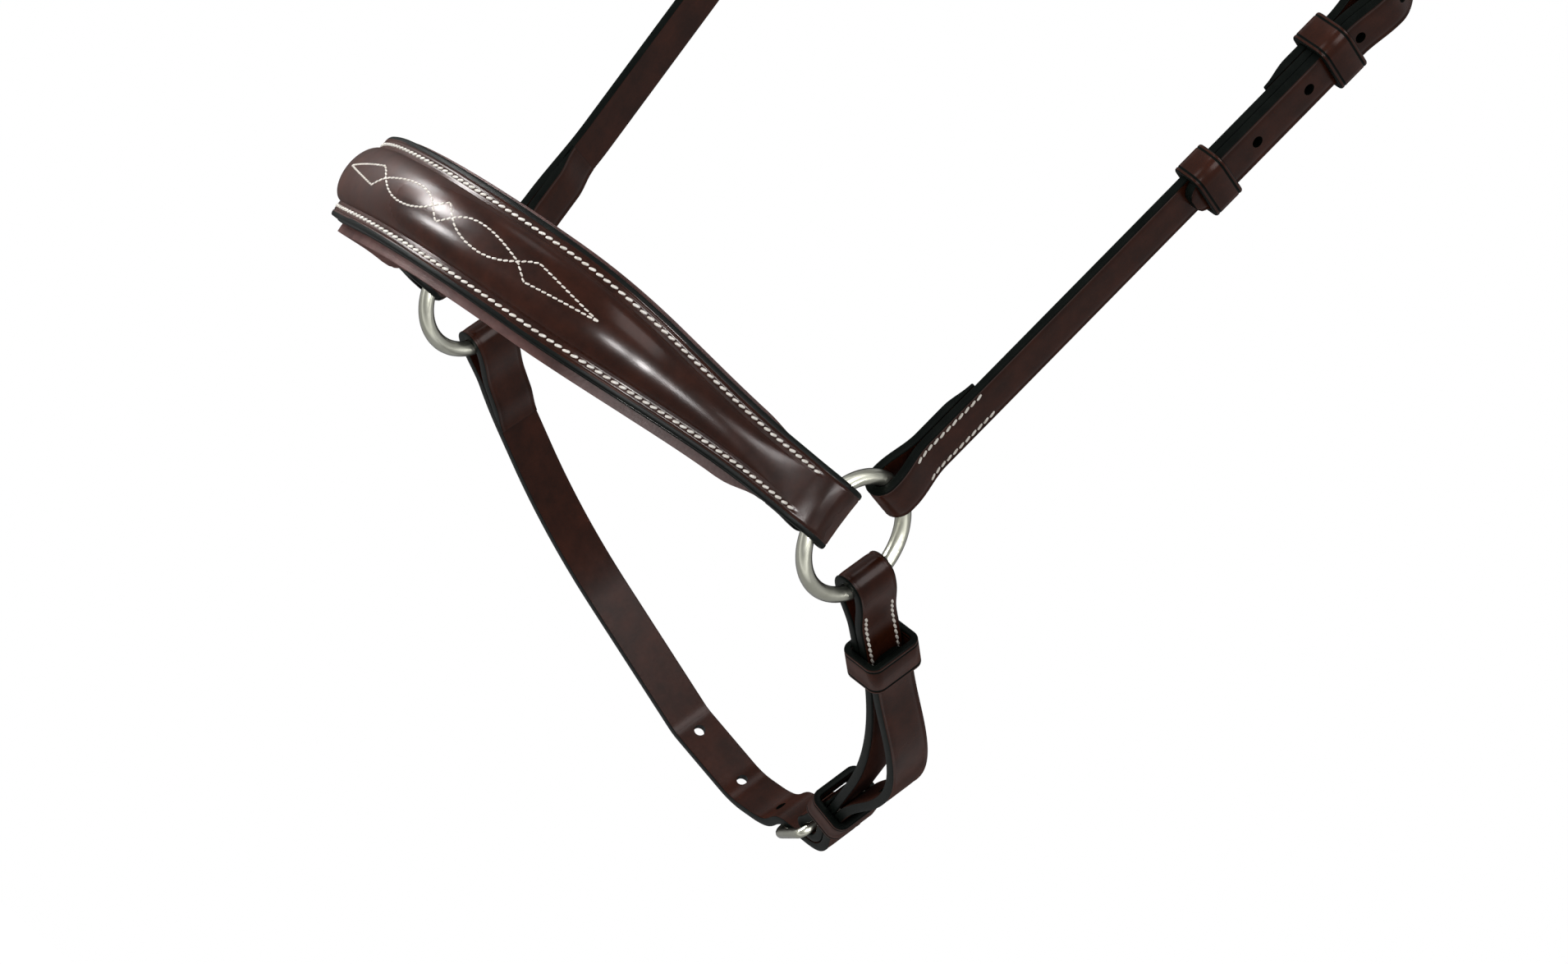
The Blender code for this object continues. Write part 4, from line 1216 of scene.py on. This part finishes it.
def keeperBand(name, route, reach, inner, outer, body):
    guide, plane, cut = route
    thick = fit["keeperThickness"]
    halfStack = (outer - inner) / 2 + fit["keeperRoom"] + thick / 2
    halfWidth = cut["width"] / 2 + fit["keeperRoom"] + thick / 2
    profile = drawCurve("keeperProfile", keeperProfile(thick / 2, fit["keeperWidth"] / 2), True, True)
    around = roundedBox(halfStack, halfWidth, keepers["corner"], keepers["cornerSteps"])
    band = drawCurve(name + "_leather", around, True, True)
    band.data.bevel_mode = "OBJECT"
    band.data.bevel_object = profile
    band.data.twist_mode = "Z_UP"
    band = meshOf(band)
    bpy.data.objects.remove(profile, do_unlink=True)
    for paint in (havana, waxedEdge):
        band.data.materials.append(paint)
    for facet in band.data.polygons:
        facet.material_index = 1 if abs(facet.normal.z) > keepers["rimTilt"] else 0
    layPattern(band, lambda place: (place.x + place.y, place.z))
    x, y = guide.place(reach, -(inner + outer) / 2)
    turn = guide.heading(reach)
    outward = Vector((sin(turn), -cos(turn), 0))
    seat = Matrix((outward, Vector((0, 0, 1)), outward.cross(Vector((0, 0, 1))))).transposed().to_4x4()
    seat.translation = (x, y, 0)
    band.matrix_world = plane @ seat
    pickOnly(band)
    bpy.ops.object.transform_apply(location=True, rotation=True, scale=False)
    dress(band, body, [name])


halfStrap = fit["strapThickness"] / 2
doubleInner = -layerSide - halfStrap
singleInner = layerSide - halfStrap
stackOuter = tailSide + halfStrap
for name, route, reach, inner, body in (
    ("cheek_fixed_keeper", headRoute, head["fixedKeeper"], doubleInner, "head"),
    ("cheek_runner_keeper", headRoute, head["runner"], singleInner, "cheek_runner"),
    ("chin_fixed_keeper", chinRoute, chin["fixedKeeper"], doubleInner, "chin"),
    ("chin_runner_keeper", chinRoute, chin["runner"], doubleInner, "chin_runner"),
):
    keeperBand(name, route, reach, inner, stackOuter, body)
print("keepers done")


def steelWire(name, node, points, diameter, body, closed=True):
    wire = drawCurve(name, points, closed, False)
    wire.data.bevel_depth = diameter / 2
    wire.data.bevel_resolution = buckle["wireRounding"]
    wire.data.use_fill_caps = not closed
    wire = meshOf(wire)
    wire.data.materials.append(steel)
    dress(wire, body, [node])


def buildBuckle(prefix, route, body, tongueBody):
    guide, plane, cut = route
    heel = guide.place(cut["buckle"])
    turn = guide.heading(cut["buckle"] + buckle["length"] / 2)
    ahead, outward = np.array([cos(turn), sin(turn)]), np.array([sin(turn), -cos(turn)])

    def inWorld(along, out, across):
        x, y = heel + ahead * along + outward * out
        return tuple(plane @ Vector((x, y, across)))

    half = cut["width"] / 2 + buckle["sideRoom"] + buckle["wire"] / 2
    outline = roundedBox(buckle["length"] / 2, half, buckle["corner"], buckle["cornerSteps"])
    points = [inWorld(along + buckle["length"] / 2, 0, across) for along, across in outline]
    steelWire(prefix + "_buckle_steel", prefix + "_buckle_frame", points, buckle["wire"], body)
    curl = buckle["wire"] / 2 + fit["gap"] + buckle["tongueWire"] / 2
    tipLevel = buckle["wire"] / 2 + buckle["tongueRestGap"] + buckle["tongueWire"] / 2
    local = []
    for step in range(buckle["curlSteps"] + 1):
        angle = pi / 2 + buckle["tongueCurl"] * (1 - step / buckle["curlSteps"])
        local.append((curl * cos(angle), curl * sin(angle)))
    local.append((buckle["length"] / 2, (curl + tipLevel) / 2))
    local.append((buckle["length"] + buckle["tongueTipPast"], tipLevel))
    points = [inWorld(along, out, 0) for along, out in local]
    tongueNode = prefix + "_buckle_tongue"
    steelWire(prefix + "_tongue_steel", tongueNode, points, buckle["tongueWire"], tongueBody, False)


buildBuckle("cheek", headRoute, "head", "cheek_tongue")
buildBuckle("chin", chinRoute, "chin", "chin_tongue")
for pattern in (edgeStitch, fancyStitch):
    bpy.data.objects.remove(pattern, do_unlink=True)
print("buckles done")

# camera at the photograph's angle

view = {
    "azimuth": radians(42.08),
    "elevation": radians(-8.58),
    "roll": radians(40.15),
    "distance": 1.3782,
    "pixelsPerMetre": 4572.0,  # at the near ring, in an image 1910 pixels wide
    "imageWidth": 1910,
    "shift": (0.01859, -0.01428),
    "sensor": 36,
    "clip": (0.05, 30),
}


def setCamera():
    azimuth, elevation, roll = view["azimuth"], view["elevation"], view["roll"]
    back = Vector((sin(azimuth) * cos(elevation), -cos(azimuth) * cos(elevation), sin(elevation)))
    right = Vector((cos(azimuth), sin(azimuth), 0))
    up = back.cross(right)
    x = right * cos(roll) + up * sin(roll)
    y = -right * sin(roll) + up * cos(roll)
    target = ringAxis + Vector((rings["side"], 0, 0))
    bpy.ops.object.camera_add()
    camera = bpy.context.object
    place = Matrix((x, y, back)).transposed().to_4x4()
    place.translation = target + back * view["distance"] - x * view["shift"][0] - y * view["shift"][1]
    camera.matrix_world = place
    camera.data.sensor_width = view["sensor"]
    camera.data.sensor_fit = "HORIZONTAL"
    camera.data.lens = view["sensor"] * view["pixelsPerMetre"] * view["distance"] / view["imageWidth"]
    camera.data.clip_start, camera.data.clip_end = view["clip"]
    bpy.context.scene.camera = camera
    return place


cameraPlace = setCamera()

# pale floor, white background and soft lamps

studio = {
    "floorHeight": -0.72,
    "floorSize": 12.0,
    "floorGlow": 0.5,
    "floorShade": 0.9,
    "cardShade": 0.002,
    "background": 1.0,
    "ambient": 0.55,
    "target": (0.04, -0.05, -0.43),  # what the lamps and cards face
    # lamps and cards stand here, seen by the camera (right, up, towards it)
    "keyLamp": ((-0.55, 0.60, 0.60), (0.5, 0.5), 5.0),
    "nosepieceGlints": (  # seen in the nosepiece's and the steel's polish alone: place, size, brightness
        ("leftGlint", (-0.95, 0.39, 0.17), (0.26, 0.26), 200.0),
        ("upperGlint", (-0.75, 0.82, 0.05), (0.24, 0.24), 150.0),
        ("behindGlint", (-0.58, 0.84, -0.25), (0.24, 0.24), 45.0),
        ("frontGlint", (-0.02, -0.25, 1.00), (0.26, 0.26), 300.0),
        ("crownGlint", (0.31, -0.41, 0.87), (0.22, 0.22), 260.0),
        ("middleGlint", (0.52, -0.52, 0.70), (0.13, 0.13), 150.0),
        ("rightGlint", (0.95, -0.36, 0.36), (0.13, 0.13), 120.0),
    ),
    "glints": (  # and in every polish
        ("strapGlint", (-0.02, -0.25, 1.00), (0.30, 0.30), 40.0),
        ("loopGlint", (0.62, 0.42, 0.66), (0.60, 0.60), 9.0),
        ("topGlint", (-0.02, 0.94, 0.17), (0.22, 0.20), 5.0),
        ("edgeGlint", (-0.55, 0.60, 0.60), (0.30, 0.30), 18.0),
    ),
    "cards": (  # dark cards behind and below, seen in the polish alone: place and size
        ((0.0, 0.0, -1.1), 1.6),
        ((0.1, -1.2, -0.3), 1.3),
    ),
}


def seenDirectly(tree):  # 1 where the camera, or a reflection, looks straight at the surface
    path = addNode(tree, "ShaderNodeLightPath").outputs
    reflected = combine(tree, "MAXIMUM", path["Is Camera Ray"], path["Is Glossy Ray"])
    return combine(tree, "MAXIMUM", reflected, path["Is Transmission Ray"])


def setFloor():
    deselectAll()
    bpy.ops.mesh.primitive_plane_add(size=studio["floorSize"], location=(0, 0, studio["floorHeight"]))
    floor = bpy.context.object
    floor.name = "floor"
    made, tree, shader = newMaterial("floor_white")
    plug(tree, shader, {
        "Base Color": (*[studio["floorShade"]] * 3, 1),
        "Roughness": 0.8,
        "Specular IOR Level": 0.2,
        "Emission Color": (1, 1, 1, 1),
        "Emission Strength": combine(tree, "MULTIPLY", seenDirectly(tree), studio["floorGlow"]),
    })
    beneath = addNode(tree, "ShaderNodeNewGeometry").outputs["Backfacing"]
    clear = addNode(tree, "ShaderNodeBsdfTransparent")  # from below, so that a low camera sees the piece
    mixSurfaces(tree, "Material Output", beneath, shader, clear)
    floor.data.materials.append(made)


def setWorld():
    world = bpy.data.worlds.new("studio")
    bpy.context.scene.world = world
    world.use_nodes = True
    tree = world.node_tree
    ambient, seen = tree.nodes["Background"], addNode(tree, "ShaderNodeBackground")
    for light, strength in ((ambient, studio["ambient"]), (seen, studio["background"])):
        plug(tree, light, {"Color": (1, 1, 1, 1), "Strength": strength})
    mixSurfaces(tree, "World Output", seenDirectly(tree), ambient, seen)


def faceTarget(piece, place):
    target = Vector(studio["target"])
    piece.location = target + cameraPlace.to_3x3() @ Vector(place)
    piece.rotation_mode = "QUATERNION"
    piece.rotation_quaternion = (target - piece.location).to_track_quat("-Z", "Y")


def setLamps():
    polished = bpy.data.collections.new("polished")  # the bright glints reach only these, so no strap glares
    for piece in bpy.data.objects:
        if piece.name.startswith("nosepiece_") or piece.name.endswith("_steel"):
            polished.objects.link(piece)
    lamps = [("keyLamp", *studio["keyLamp"]), *studio["nosepieceGlints"], *studio["glints"]]
    for name, place, size, brightness in lamps:
        bpy.ops.object.light_add(type="AREA")
        lamp = bpy.context.object
        lamp.name = name
        lamp.data.shape = "RECTANGLE"
        lamp.data.size, lamp.data.size_y = size
        lamp.data.energy = brightness * pi * size[0] * size[1]
        lamp.visible_diffuse = name == "keyLamp"
        lamp.visible_glossy = name != "keyLamp"
        if any(name == glint[0] for glint in studio["nosepieceGlints"]):
            lamp.light_linking.receiver_collection = polished
        faceTarget(lamp, place)
    made, tree, shader = newMaterial("card_dark")
    shade = (*[studio["cardShade"]] * 3, 1)
    plug(tree, shader, {"Base Color": shade, "Roughness": 1.0, "Specular IOR Level": 0.0})
    for place, size in studio["cards"]:
        bpy.ops.mesh.primitive_plane_add(size=size)
        card = bpy.context.object
        card.name = "darkCard"
        card.data.materials.append(made)
        card.visible_camera = card.visible_diffuse = card.visible_shadow = False
        faceTarget(card, place)


bpy.context.scene.view_settings.view_transform = "Standard"
setFloor()
setWorld()
setLamps()
print("studio set")
